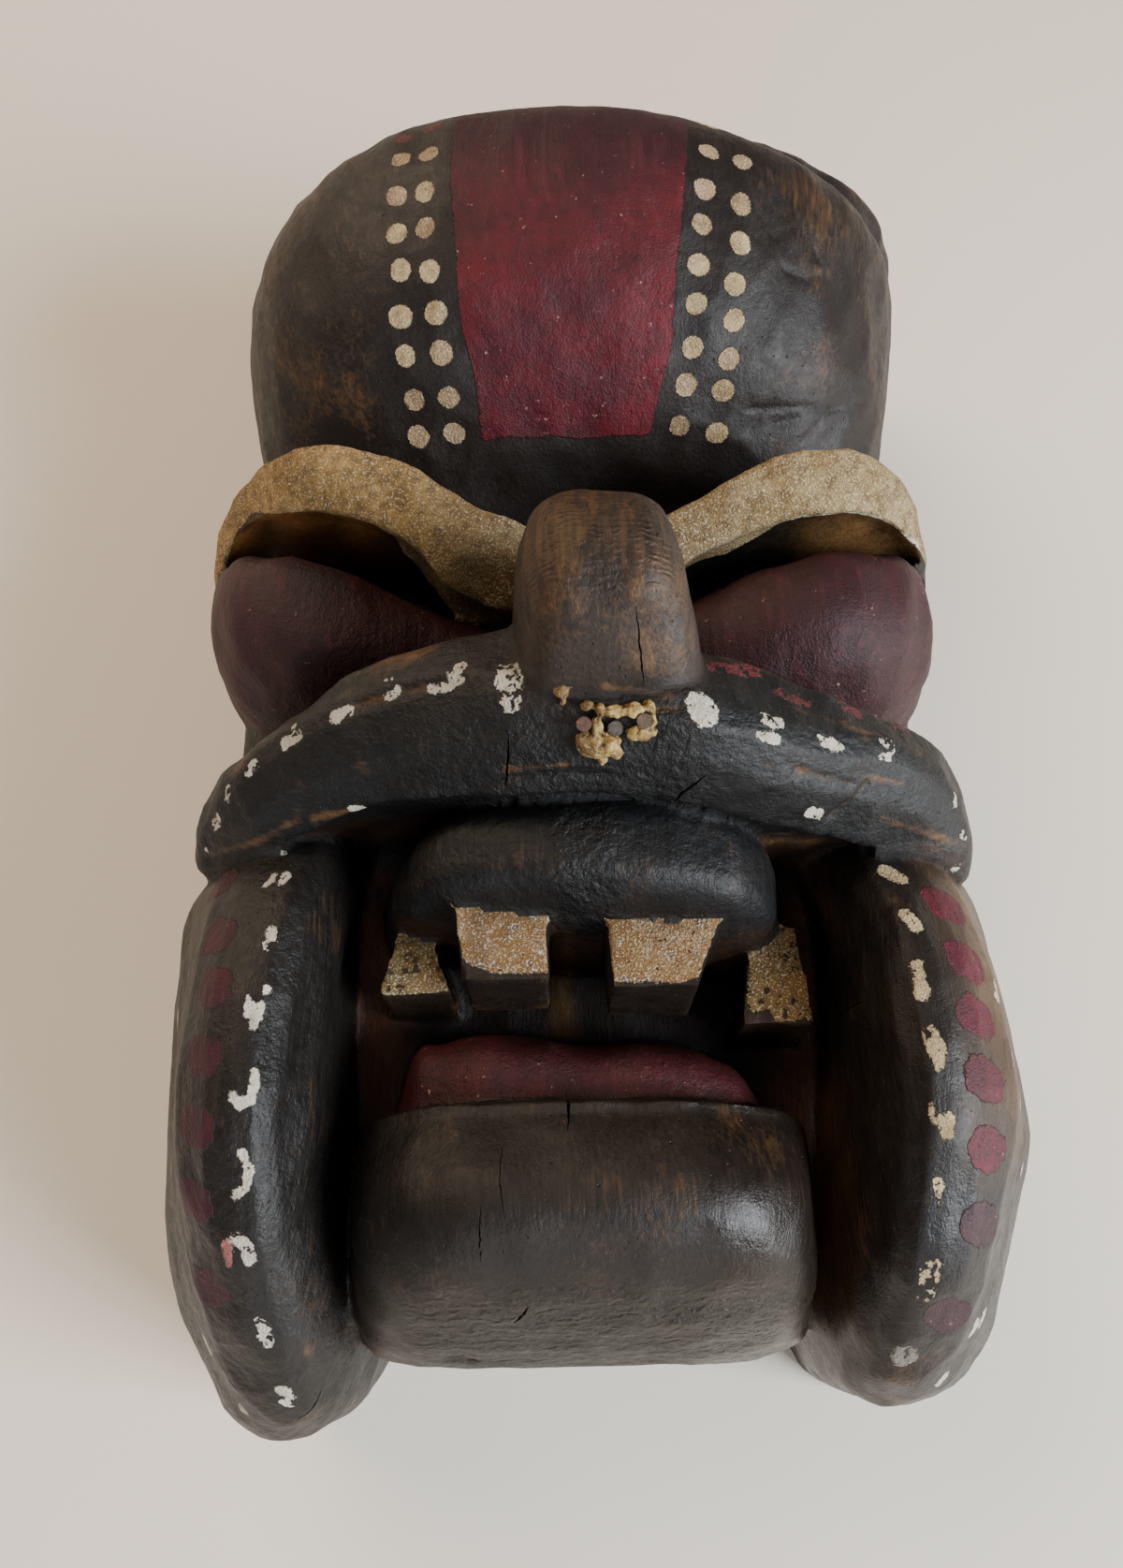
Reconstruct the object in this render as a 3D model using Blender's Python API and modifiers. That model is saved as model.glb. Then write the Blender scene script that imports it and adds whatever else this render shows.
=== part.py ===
"""A carved wooden mask in the manner of the Guere carvers of Ivory Coast, lying on its back on its rim.

Units are metres and +Z is up, away from the rim. +Y runs from the chin to the crown and +X is to the
right of someone who looks at the face. The mask is one block of wood, worked out as the forms that a
carver leaves standing: block, forehead, brows, eye swellings, nose, moustache, gum, teeth, lip, chin
and the two jowls. The forms are joined, softened and hollowed from the back. A scrap of dried hide and
three rusty nails are what is left of the trimming that was nailed to the moustache.

The rows of numbers are millimetres, one row for each cross-section, in the order that its comment gives.
"""

import math

import bmesh
import bpy
import numpy as np
from mathutils import Matrix, Vector

MM = 0.001

# Driving sizes, in metres
WAIST = 0.050          # height above the rim where the block is widest
RIM_TAPER = 0.93       # width at the rim, as a share of the width at the waist
WALL = 0.014           # thickness of the wood between the hollow and the sides
CUT_DEPTH = 0.012      # how far the forms run below the rim plane before they are sawn flat
MIDDLE = (0.00205, -0.00073, 0)  # middle of the finished outline, which becomes the origin
BROW_ROOT = 0.058      # lowest height from which a brow stands out of the block
BLEND_VOXEL = 0.0018   # size of the finest form that the joined block keeps
BLEND_PASSES = 3       # how often the joined block is rubbed down
KEPT_SHARE = 0.034     # share of the joined block's triangles that the solid keeps
RING_POINTS = 32       # points round a rounded cross-section
STATIONS = 40          # cross-sections along a form
HOLLOW_STATIONS = 22   # cross-sections along the hollow, which is rougher
SEAT_GAP = 0.0003      # air between pieces that touch

SCRAP_PLACE = (0.0047, -0.0434, 0.1390)   # where the middle nail enters the moustache
FLECK_PLACE = (-0.0052, -0.0376, 0.1422)  # a crumb of the same hide, left on its own beside the nose
FACE_LEAN = math.radians(37)              # how far the moustache leans back where the hide is nailed
HIDE_VOXEL = 0.00045
HIDE_KEPT_SHARE = 0.08

NAIL_HEAD_RADIUS = 0.0015
NAIL_HEAD_HEIGHT = 0.0007
NAIL_SHANK_RADIUS = 0.0006
NAIL_LENGTH = 0.011
NAIL_SIDES = 16
SHAFT = 0.008          # how far a nail's cutter clears the hide above its head

WOOD_COLOUR = (0.028, 0.020, 0.016)
HIDE_COLOUR = (0.42, 0.28, 0.11)
RUST_COLOUR = (0.13, 0.085, 0.065)


def smooth_rows(rows, count=STATIONS):
    """The rows drawn as smooth curves against their first column, at count evenly spaced values of it."""
    table = np.array(rows, float)
    if table[0, 0] > table[-1, 0]:
        table = table[::-1]
    knots = table[:, 0]
    slopes = np.gradient(table, knots, axis=0)
    places = np.linspace(knots[0], knots[-1], count)
    spans = np.clip(np.searchsorted(knots, places, side="right") - 1, 0, len(knots) - 2)
    width = (knots[spans + 1] - knots[spans])[:, None]
    t = ((places - knots[spans])[:, None]) / width
    start = (2 * t**3 - 3 * t**2 + 1) * table[spans] + (t**3 - 2 * t**2 + t) * width * slopes[spans]
    end = (3 * t**2 - 2 * t**3) * table[spans + 1] + (t**3 - t**2) * width * slopes[spans + 1]
    return start + end


def oval(across, along, half_across, half_along, power=2.0, points=RING_POINTS):
    """A rounded outline round (across, along): power 2 is an ellipse, and more makes it boxier."""
    ring = []
    for k in range(points):
        turn = 2 * math.pi * k / points
        c, s = math.cos(turn), math.sin(turn)
        ring.append((
            across + half_across * math.copysign(abs(c) ** (2 / power), c),
            along + half_along * math.copysign(abs(s) ** (2 / power), s),
        ))
    return ring


def form(name, rings):
    """A closed carved form: the outlines of its cross-sections bridged in order, with both ends capped."""
    shape = bmesh.new()
    loops = [[shape.verts.new(Vector(point) * MM) for point in ring] for ring in rings]
    sides = len(loops[0])
    for one, other in zip(loops, loops[1:]):
        for k in range(sides):
            shape.faces.new((one[k], one[(k + 1) % sides], other[(k + 1) % sides], other[k]))
    shape.faces.new(loops[0])
    shape.faces.new(loops[-1])
    bmesh.ops.recalc_face_normals(shape, faces=shape.faces)
    mesh = bpy.data.meshes.new(name)
    shape.to_mesh(mesh)
    shape.free()
    obj = bpy.data.objects.new(name, mesh)
    bpy.context.scene.collection.objects.link(obj)
    return obj


def across_face(y, ring):
    """Points (x, z) of a cross-section that is cut straight across the face at y."""
    return [(x, y, z) for x, z in ring]


def along_face(x, ring):
    """Points (y, z) of a cross-section that is cut from chin to crown at x."""
    return [(x, y, z) for y, z in ring]


def block():
    """The body of the block, with the forehead's dome at its upper end."""
    # y, half width to the left, half width to the right, crown, boxiness of the left and of the right
    rows = [
        (-151, 34, 34, 46, 2.6, 2.6),
        (-146, 50, 50, 54, 2.8, 2.8),
        (-136, 68, 70, 60, 3.0, 3.0),
        (-125, 80, 84, 64, 3.2, 3.2),
        (-90, 90, 93, 68, 3.4, 3.4),
        (-50, 90, 90, 76, 3.2, 3.2),
        (-10, 88, 87, 82, 3.0, 3.0),
        (30, 89, 87, 80, 2.8, 2.8),
        (50, 87, 86, 84, 2.6, 2.6),
        (60, 86, 85, 102, 2.4, 2.4),
        (74, 88, 88, 121, 2.5, 2.4),
        (95, 92.5, 92, 134, 2.5, 2.4),
        (120, 93.5, 95.7, 138, 2.45, 2.45),
        (140, 86, 99, 129, 2.45, 1.95),
        (152, 75, 100.5, 111, 2.5, 2.6),
        (160, 58, 96.5, 91, 3.0, 2.7),
        (165, 36, 95, 72, 3.4, 4.3),
    ]
    waist, drop = WAIST / MM, CUT_DEPTH / MM
    rings = []
    quarter = RING_POINTS // 4
    for y, left, right, crown, left_power, right_power in smooth_rows(rows, 2 * STATIONS):
        right_arc = oval(0, 0, right, 1, right_power)[:quarter]
        left_arc = oval(0, 0, left, 1, left_power)[quarter : 2 * quarter + 1]
        ring = [(x, waist + (crown - waist) * z) for x, z in right_arc + left_arc]
        ring += [(-left * RIM_TAPER, 0), (-left * RIM_TAPER, -drop)]
        ring += [(right * RIM_TAPER, -drop), (right * RIM_TAPER, 0)]
        rings.append(across_face(y, ring))
    return form("block", rings)


def jowl(name, side, rows):
    """A curved jowl beside the mouth: a steep inner wall, a rounded ridge and an outer facet."""
    drop = CUT_DEPTH / MM
    full_width = 40   # a narrower jowl keeps its shape, at a smaller size
    tip_start = -140  # below this the inner wall leans outwards
    rings = []
    for y, foot, ridge, ridge_top, edge, edge_top in smooth_rows(rows):
        thick = min(1.0, (edge - foot) / full_width)
        lean = 0.2 * max(0, tip_start - y)
        rim = foot + 0.8 * (edge - foot)
        ring = [
            # up the inner wall
            (foot + 2 * lean, -drop),
            (foot + lean, ridge_top - 42 * thick),
            (ridge - 9 * thick, ridge_top - 14 * thick),
            # over the ridge
            (ridge - 3.5 * thick, ridge_top - 2 * thick),
            (ridge + 2.5 * thick, ridge_top - 1 * thick),
            # down the outer facet, which falls faster towards the edge
            (ridge + 0.28 * (edge - ridge), edge_top + 0.93 * (ridge_top - edge_top)),
            (ridge + 0.50 * (edge - ridge), edge_top + 0.79 * (ridge_top - edge_top)),
            (edge - 4 * thick, edge_top + 9 * thick),
            (edge, edge_top),
            # back under the edge to the rim
            (edge - 3 * thick, edge_top - 14 * thick),
            (rim, 0),
            (rim, -drop),
        ]
        rings.append(across_face(y, [(side * x, z) for x, z in ring]))
    return form(name, rings)


def jowls():
    # y, inner foot, ridge, height of the ridge, outer edge, height of the outer edge
    right = [
        (-162.5, 57, 62, 58, 68, 48),
        (-160, 51, 60.5, 66, 75, 49),
        (-152, 46.5, 60, 79, 84, 51),
        (-140, 46.5, 61.5, 93, 90.5, 53),
        (-125, 48, 63, 103, 95.5, 54.5),
        (-110, 50, 64.5, 109.5, 101, 55),
        (-90, 52, 64, 112.5, 101.5, 56),
        (-72, 53, 63, 110, 98.3, 60),
        (-55, 53, 59, 102, 93.5, 64),
        (-40, 52, 55, 88, 84, 64),
    ]
    left = [
        (-166.5, 57, 65, 55, 72, 47),
        (-163, 51, 63, 65, 77.2, 48),
        (-154, 46.5, 62, 78, 83.8, 51),
        (-140, 47, 63.5, 93, 91, 53),
        (-125, 49.5, 65, 104, 95, 54.5),
        (-110, 51.5, 65.3, 110.5, 97, 55),
        (-90, 53, 65, 112.5, 98, 56),
        (-72, 53, 63.3, 110, 97.5, 60),
        (-55, 53, 61, 102, 95.5, 64),
        (-40, 52, 57, 88, 87, 64),
    ]
    return [jowl("jowl right", 1, right), jowl("jowl left", -1, left)]


def brow(name, rows):
    """A thick brow: a broad face between an upper and a lower edge, hanging over the eye."""
    rings = []
    for x, top_y, top_z, low_y, low_z in smooth_rows(rows, 2 * STATIONS):
        root_z = max(low_z - 45, BROW_ROOT / MM)
        ring = [
            (top_y + 8, root_z),
            (top_y + 4, top_z - 9),
            (top_y, top_z),
            ((top_y + low_y) / 2, (top_z + low_z) / 2 + 1.5),
            (low_y, low_z),
            (low_y + 3, low_z - 6),
            (low_y + 6, root_z),
        ]
        rings.append(along_face(x, ring))
    return form(name, rings)


def brows():
    # x, upper edge y and z, lower edge y and z
    left = [
        (-94, 32, 76, 28, 74),
        (-92, 35.5, 85, 29, 81),
        (-87.5, 40, 95, 31.5, 90),
        (-80, 43, 105, 33, 99),
        (-69.5, 42, 115, 29.5, 108),
        (-57.5, 40, 120, 27, 112),
        (-46.7, 38, 120, 23, 112),
        (-38, 34.5, 119, 18, 110),
        (-30, 31, 115, 10.5, 104),
        (-21.5, 28.5, 111, 9, 98),
        (-14, 26, 109, 9, 95),
        (-6, 24, 106, 9, 92),
    ]
    right = [
        (8, 24, 108, 13, 96),
        (22.5, 27, 111, 16, 103),
        (31, 30.5, 114, 19, 107),
        (39, 33.5, 118, 21.5, 110),
        (49.6, 36, 120, 24, 112),
        (60.4, 37, 120, 25, 112),
        (72, 38.5, 112, 26.5, 107),
        (80.5, 38, 102, 27, 98),
        (87, 33, 90, 26, 87),
        (90.5, 29, 78, 25, 76),
    ]
    return [brow("brow left", left), brow("brow right", right)]


def eye_swells():
    """The swelling under each eye, broad at the temple and thin beside the nose."""
    # x, y of the middle, height of the middle, half length, half height
    left = [
        (-94, 19, 66, 4, 6),
        (-91.5, 18.5, 68, 11.5, 17),
        (-85, 13.5, 71, 19, 28),
        (-74, 8, 74, 22, 34),
        (-60, 4, 76, 21.5, 35),
        (-46, 1, 76, 18.5, 30),
        (-34, -1, 77, 15.5, 23),
        (-20, -2.5, 78, 13.5, 17),
        (-8, -4, 78, 12, 14),
    ]
    right = [
        (8, -4, 79, 12, 14),
        (20, -2, 79, 14.5, 18),
        (32, 0, 79, 18.5, 25),
        (45, 2, 77, 20.5, 33),
        (58, 4, 75, 22, 37),
        (70, 6, 73, 22, 35),
        (80, 10, 71, 20, 29),
        (87, 13, 68, 14, 18),
        (89.5, 13, 66, 5, 6),
    ]
    made = []
    for name, rows in (("eye swell left", left), ("eye swell right", right)):
        rings = [along_face(x, oval(y, z, ry, rz, 2.3)) for x, y, z, ry, rz in smooth_rows(rows)]
        made.append(form(name, rings))
    return made


def nose():
    """A blunt nose like an upright thumb, standing highest just above the moustache."""
    # y, left side, right side, height of the top
    rows = [
        (-40, -15, 24, 139),
        (-36.5, -15, 23.5, 146),
        (-31, -15, 23, 153.5),
        (-25, -15, 22, 159.5),
        (-17, -15, 21, 162),
        (-8, -14.5, 19.5, 160.5),
        (-1, -13.5, 18, 155),
        (4, -12.5, 16.5, 145.5),
        (8, -12, 15.5, 132),
        (14, -11, 15, 114),
        (24, -10, 13, 100),
        (36, -8, 11, 92),
    ]
    base = 60
    rings = []
    for y, left, right, top in smooth_rows(rows, 2 * STATIONS):
        ring = oval((left + right) / 2, (top + base) / 2, (right - left) / 2, (top - base) / 2, 3.6)
        rings.append(across_face(y, ring))
    return form("nose", rings)


def moustache():
    """The broad band over the mouth: an upper facet, a ridge, and a front facet that hangs over the gum."""
    # x, upper edge y and z, ridge y and z, lower edge y and z
    rows = [
        (-88, -45.5, 87, -47, 87.5, -49.5, 86),
        (-86.5, -41.5, 92, -45.5, 91.5, -52, 86.5),
        (-82, -35.5, 98, -41, 99, -52.5, 90),
        (-73.5, -31.5, 105, -38, 108.5, -52, 95.5),
        (-61, -26.5, 114, -34, 118.5, -50.5, 103.5),
        (-49, -22, 123.5, -32, 125.5, -48.5, 111),
        (-38, -20, 128, -31, 131, -48.5, 117),
        (-27, -19, 131, -32, 136, -50, 121.5),
        (-15, -18, 134, -35, 140.5, -51, 125),
        (3.5, -20, 136, -38.5, 142.5, -51.5, 126),
        (20, -24, 134.5, -41.5, 142, -53, 123),
        (34, -26.5, 131.5, -42.5, 136, -55, 118),
        (47, -29.5, 127, -42.5, 129, -55, 111.5),
        (60, -31, 119, -41, 122, -55, 104),
        (73, -32.5, 110, -41.5, 112, -56.5, 95.5),
        (80.5, -35.5, 101, -45, 103, -58, 90.5),
        (84.5, -40, 94, -48, 95.5, -57, 87.5),
        (86.5, -43.5, 89, -48.5, 89.5, -53, 86),
    ]
    rings = []
    for x, top_y, top_z, ridge_y, ridge_z, low_y, low_z in smooth_rows(rows, 2 * STATIONS):
        depth = min(1.0, (ridge_z - 84) / 28)
        ring = [
            (top_y + 3 * depth, top_z - 9 * depth),
            (top_y, top_z),
            (ridge_y + 3 * depth, ridge_z - 0.4),
            (ridge_y - 2 * depth, ridge_z - 1.2 * depth),
            ((ridge_y + low_y) / 2 - 1.5 * depth, (ridge_z + low_z) / 2 + 1.5 * depth),
            (low_y, low_z),
            (low_y + 4 * depth, low_z - 6 * depth),
            (low_y + 5 * depth, low_z - 40 * depth),
            (top_y + 2 * depth, low_z - 40 * depth),
        ]
        rings.append(along_face(x, ring))
    return form("moustache", rings)


def gum():
    """The smooth upper gum that swells out under the moustache."""
    # x, upper edge y, lower edge y, height of the crown
    rows = [
        (-48, -57, -64, 74),
        (-45.5, -54, -67.5, 87),
        (-39, -50, -69.5, 98),
        (-31, -46, -71.5, 107.5),
        (-20, -44, -73, 115),
        (0, -44, -74.5, 120.5),
        (20, -44, -75.5, 117.5),
        (32, -47, -75, 110),
        (39, -51, -73, 99),
        (43, -55, -70, 84),
    ]
    base = 60
    rings = []
    for x, upper, lower, crown in smooth_rows(rows):
        ring = oval((upper + lower) / 2, base, (upper - lower) / 2, crown - base, 2.7)
        rings.append(along_face(x, ring))
    return form("gum", rings)


def tooth(name, top_left, top_right, low_left, low_right, top_y, low_y, front, depth):
    """A tapered tooth whose biting end is cut square."""
    bpy.ops.mesh.primitive_cube_add(size=2)
    obj = bpy.context.object
    obj.name = name
    for vertex in obj.data.vertices:
        right, down, out = vertex.co.x > 0, vertex.co.y < 0, vertex.co.z > 0
        left_x, right_x = (low_left, low_right) if down else (top_left, top_right)
        x = right_x if right else left_x
        y = low_y if down else top_y
        z = front if out else front - depth
        vertex.co = Vector((x, y, z)) * MM
    return obj


def teeth():
    # x at the gum, x at the biting end, y at the gum and at the end, height of the front, depth
    sizes = {
        "tooth inner left": (-29, -8, -25.5, -8.5, -62, -83, 108, 26),
        "tooth inner right": (3, 29, 3.5, 21, -64, -85, 108, 26),
        "tooth outer left": (-42, -34.5, -45, -30.5, -68, -82.5, 91, 32),
        "tooth outer right": (35, 45, 31.5, 47, -67, -89, 91, 32),
    }
    return [tooth(name, *size) for name, size in sizes.items()]


def lower_lip():
    """The thin lower lip that lies along the top of the chin."""
    # x, y of the middle, height of the top, half length
    rows = [
        (-42, -106, 76, 4),
        (-39, -101, 84, 10),
        (-31, -99.5, 89.5, 12),
        (0, -101, 92, 12.5),
        (24, -103, 91, 12.5),
        (33, -107, 87, 11),
        (38.5, -112, 78, 5),
    ]
    base = 55
    rings = []
    for x, y, top, half in smooth_rows(rows):
        rings.append(along_face(x, oval(y, base, half, top - base, 2.8)))
    return form("lower lip", rings)


def chin():
    """The rounded chin between the jowls, with a sharp upper edge against the lip."""
    profile = [
        (-104.5, 40), (-104.5, 95.5), (-107.5, 100.5), (-113, 104.5), (-121, 108), (-129, 107),
        (-137, 101), (-144, 90), (-149.5, 76), (-153, 60), (-153.5, 45), (-150, 20),
        (-148, -12), (-110, -12),
    ]
    centre_y, centre_z, middle, half_width = -126, 62, -2, 48.5
    boxiness, smallest = 5.5, 0.35
    rings = []
    for k in range(STATIONS + 1):
        share = -math.cos(math.pi * k / STATIONS)
        size = max(smallest, (1 - abs(share) ** boxiness) ** (1 / boxiness))
        length = smallest + (1 - smallest) * size
        ring = [(centre_y + (y - centre_y) * length, centre_z + (z - centre_z) * size) for y, z in profile]
        rings.append(along_face(middle + half_width * share, ring))
    return form("chin", rings)


def hollow():
    """The hollow for the wearer's face, cut from the back."""
    # y, crown of the hollow, how much more wood than the wall is left at each side
    rows = [
        (-134, 6, 30),
        (-128, 22, 18),
        (-115, 38, 8),
        (-85, 47, 3),
        (-60, 50, 1),
        (-35, 66, 0),
        (-10, 72, 0),
        (30, 66, 0),
        (50, 66, 0),
        (65, 80, 0),
        (80, 98, 0),
        (100, 110, 0),
        (122, 109, 2),
        (138, 92, 8),
        (147, 50, 20),
        (150, 20, 32),
    ]
    half_widths = [(-150, 60), (-125, 85), (-90, 90), (-50, 88), (0, 83), (50, 82), (120, 90), (150, 74)]
    wall, drop = WALL / MM, 2 * CUT_DEPTH / MM
    rings = []
    for y, crown, spare in smooth_rows(rows, HOLLOW_STATIONS):
        outer = np.interp(y, *np.array(half_widths, float).T)
        half = outer * RIM_TAPER - wall - spare
        top = oval(0, 0, half, crown, 2.5)[: RING_POINTS // 2 + 1]
        rings.append(across_face(y, top + [(-half, -drop), (half, -drop)]))
    return form("hollow cutter", rings)


def eye_slit(name, rows):
    """The narrow slit that is pierced between the brow and the swelling under it."""
    top, bottom, half_gap = 98, 20, 2.6
    rings = []
    for x, y in smooth_rows(rows):
        ring = [(y - half_gap, bottom), (y + half_gap, bottom), (y + half_gap, top), (y - half_gap, top)]
        rings.append(along_face(x, ring))
    return form(name, rings)


def eye_slits():
    # x, y of the middle of the slit
    left = [(-72, 23.5), (-60, 21.5), (-48, 17.5), (-36, 11.5)]
    right = [(34, 14.5), (46, 18), (58, 20), (70, 21)]
    return [eye_slit("slit cutter left", left), eye_slit("slit cutter right", right)]


def floor_cutter():
    """The saw cut that leaves the rim flat."""
    bpy.ops.mesh.primitive_cube_add(size=1)
    obj = bpy.context.object
    obj.name = "floor cutter"
    reach = 0.5
    obj.data.transform(Matrix.Diagonal((reach, reach, reach, 1)))
    obj.data.transform(Matrix.Translation((0, 0, -reach / 2)))
    return obj


def finish(obj, collection, colour, roughness, metallic=0.0):
    """Puts a finished piece in its collection, with a material of its own."""
    material = bpy.data.materials.new(obj.name)
    material.use_nodes = True
    shader = material.node_tree.nodes["Principled BSDF"]
    shader.inputs["Base Color"].default_value = (*colour, 1)
    shader.inputs["Roughness"].default_value = roughness
    shader.inputs["Metallic"].default_value = metallic
    obj.data.materials.clear()
    obj.data.materials.append(material)
    move_to(obj, collection)


def move_to(obj, collection):
    for owner in list(obj.users_collection):
        owner.objects.unlink(obj)
    collection.objects.link(obj)


def cut_away(obj, cutter):
    cut = obj.modifiers.new(cutter.name, "BOOLEAN")
    cut.operation = "DIFFERENCE"
    cut.object = cutter


def joined(name, pieces):
    bpy.ops.object.select_all(action="DESELECT")
    for obj in pieces:
        obj.select_set(True)
    bpy.context.view_layer.objects.active = pieces[0]
    bpy.ops.object.join()
    obj = bpy.context.object
    obj.name = name
    return obj


def melted(obj, voxel, passes, share):
    """Turns overlapping lumps into one skin, rubs it down and keeps a share of its triangles."""
    blend = obj.modifiers.new("one skin", "REMESH")
    blend.mode = "VOXEL"
    blend.voxel_size = voxel
    rub = obj.modifiers.new("rubbed down", "SMOOTH")
    rub.factor = 0.5
    rub.iterations = passes
    fewer = obj.modifiers.new("fewer facets", "DECIMATE")
    fewer.ratio = share
    return obj


def on_face(place):
    """The frame at a place on the moustache: X to the right, Y up the face, Z out of the wood."""
    return Matrix.Translation(place) @ Matrix.Rotation(FACE_LEAN, 4, "X")


def lumps(name, place, sizes):
    """Shrivelled hide: lumps at (right, up, out), with their half width, half height and half thickness."""
    made = []
    for right, up, out, half_width, half_height, half_thickness in sizes:
        bpy.ops.mesh.primitive_uv_sphere_add(segments=16, ring_count=8, radius=MM)
        obj = bpy.context.object
        spot = Matrix.Translation(Vector((right, up, out)) * MM)
        size = Matrix.Diagonal((half_width, half_height, half_thickness, 1))
        obj.data.transform(on_face(place) @ spot @ size)
        made.append(obj)
    return melted(joined(name, made), HIDE_VOXEL, 1, HIDE_KEPT_SHARE)


def hide_scrap():
    sizes = [
        (-5.1, -3.0, -0.6, 2.6, 3.0, 3.0),
        (-1.3, -3.0, -0.6, 2.6, 2.6, 3.9),
        (-2.4, -6.2, -1.5, 1.2, 1.4, 2.2),
        (0.4, -4.8, -1.0, 1.6, 1.3, 2.8),
        (-3.5, 0.2, 0.0, 1.4, 2.4, 2.4),
        (-5.1, 4.3, 0.0, 1.7, 1.2, 2.8),
        (-2.7, 3.4, 0.0, 1.3, 1.6, 2.8),
        (0.0, 3.0, 0.0, 3.2, 1.1, 1.7),
        (3.4, 3.3, 0.0, 2.2, 1.7, 2.3),
        (6.2, 4.3, -0.2, 1.3, 1.3, 2.6),
        (7.0, 1.6, -0.1, 1.2, 2.8, 2.4),
        (4.5, -1.0, 0.0, 3.0, 1.5, 2.4),
        (6.9, -0.7, -0.1, 1.4, 1.3, 2.0),
    ]
    return lumps("hide_scrap", SCRAP_PLACE, sizes)


def hide_fleck():
    sizes = [
        (0.0, 0.2, 0.2, 1.7, 1.7, 1.8),
        (0.2, -1.5, 0.2, 0.8, 1.1, 1.4),
        (1.9, 1.1, 0.3, 1.3, 0.6, 1.2),
    ]
    return lumps("hide_fleck", FLECK_PLACE, sizes)


def swollen(obj):
    """The wood's own surface, moved out by the seat gap, to shape what lies on it."""
    graph = bpy.context.evaluated_depsgraph_get()
    mesh = bpy.data.meshes.new_from_object(obj.evaluated_get(graph))
    cutter = bpy.data.objects.new("wood and air cutter", mesh)
    bpy.context.scene.collection.objects.link(cutter)
    swell = cutter.modifiers.new("seat gap", "DISPLACE")
    swell.strength = SEAT_GAP
    swell.mid_level = 0
    return cutter


def cylinder(name, radius, low, high, frame):
    bpy.ops.mesh.primitive_cylinder_add(vertices=NAIL_SIDES, radius=radius, depth=high - low)
    obj = bpy.context.object
    obj.name = name
    obj.data.transform(frame @ Matrix.Translation((0, 0, (low + high) / 2)))
    return obj


def nail(name, right, up, seat):
    """A nail whose head stands at seat above the wood, and the cutter that clears its hole and its head."""
    frame = on_face(SCRAP_PLACE) @ Matrix.Translation(Vector((right, up, seat)) * MM)
    overlap = NAIL_HEAD_HEIGHT / 2
    shank = cylinder(name + " shank", NAIL_SHANK_RADIUS, -NAIL_LENGTH, overlap, frame)
    head = cylinder(name, NAIL_HEAD_RADIUS, 0, NAIL_HEAD_HEIGHT, frame)
    weld = head.modifiers.new("one nail", "BOOLEAN")
    weld.operation = "UNION"
    weld.object = shank
    hole = cylinder(name + " hole cutter", NAIL_SHANK_RADIUS + SEAT_GAP, -NAIL_LENGTH - SEAT_GAP, 0, frame)
    room = cylinder(name + " head cutter", NAIL_HEAD_RADIUS + SEAT_GAP, -SEAT_GAP, SHAFT, frame)
    return head, [hole, room], shank


def main():
    for obj in list(bpy.data.objects):
        bpy.data.objects.remove(obj)
    scene = bpy.context.scene.collection
    parts = bpy.data.collections.new("wooden mask")
    tools = bpy.data.collections.new("cutters")
    scene.children.link(parts)
    scene.children.link(tools)

    carved = [
        block(), *jowls(), *brows(), *eye_swells(),
        nose(), moustache(), gum(), *teeth(), lower_lip(), chin(),
    ]
    mask = melted(joined("mask", carved), BLEND_VOXEL, BLEND_PASSES, KEPT_SHARE)
    helpers = [hollow(), *eye_slits(), floor_cutter()]
    for cutter in helpers:
        cut_away(mask, cutter)
    wood_and_air = swollen(mask)
    helpers.append(wood_and_air)

    scrap, fleck = hide_scrap(), hide_fleck()
    for hide in (scrap, fleck):
        cut_away(hide, wood_and_air)
        finish(hide, parts, HIDE_COLOUR, 0.6)
    # to the right and up from the middle nail, and the height of the head's underside, in millimetres
    nails = {"nail_left": (-5.9, 1.1, 1.5), "nail_middle": (0, 0, 0.8), "nail_right": (5.3, 1.5, 1.6)}
    for name, place in nails.items():
        head, cutters, shank = nail(name, *place)
        for cutter in cutters:
            cut_away(mask, cutter)
            cut_away(scrap, cutter)
        helpers += [*cutters, shank]
        finish(head, parts, RUST_COLOUR, 0.7, 0.6)
    finish(mask, parts, WOOD_COLOUR, 0.5)
    for helper in helpers:
        helper.hide_render = True
        helper.display_type = "WIRE"
        move_to(helper, tools)

    middle = bpy.data.objects.new("middle of the rim", None)
    parts.objects.link(middle)
    middle.location = -Vector(MIDDLE)
    for obj in (mask, scrap, fleck, *helpers, *(bpy.data.objects[name] for name in nails)):
        obj.parent = middle


main()
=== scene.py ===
"""The looks of a carved guere mask that lies on its back: its wood, stain, paint, dried hide and nails.

Lengths in the tables are millimetres on the carver's own lines, as in the part's source, and the finished
pieces are in metres in the frame of the CAD model. +Y runs from the chin to the crown, and +Z out of the
face.
"""

import math

import bpy
import numpy as np
from mathutils import Matrix, Vector, noise
from mathutils.bvhtree import BVHTree


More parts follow.
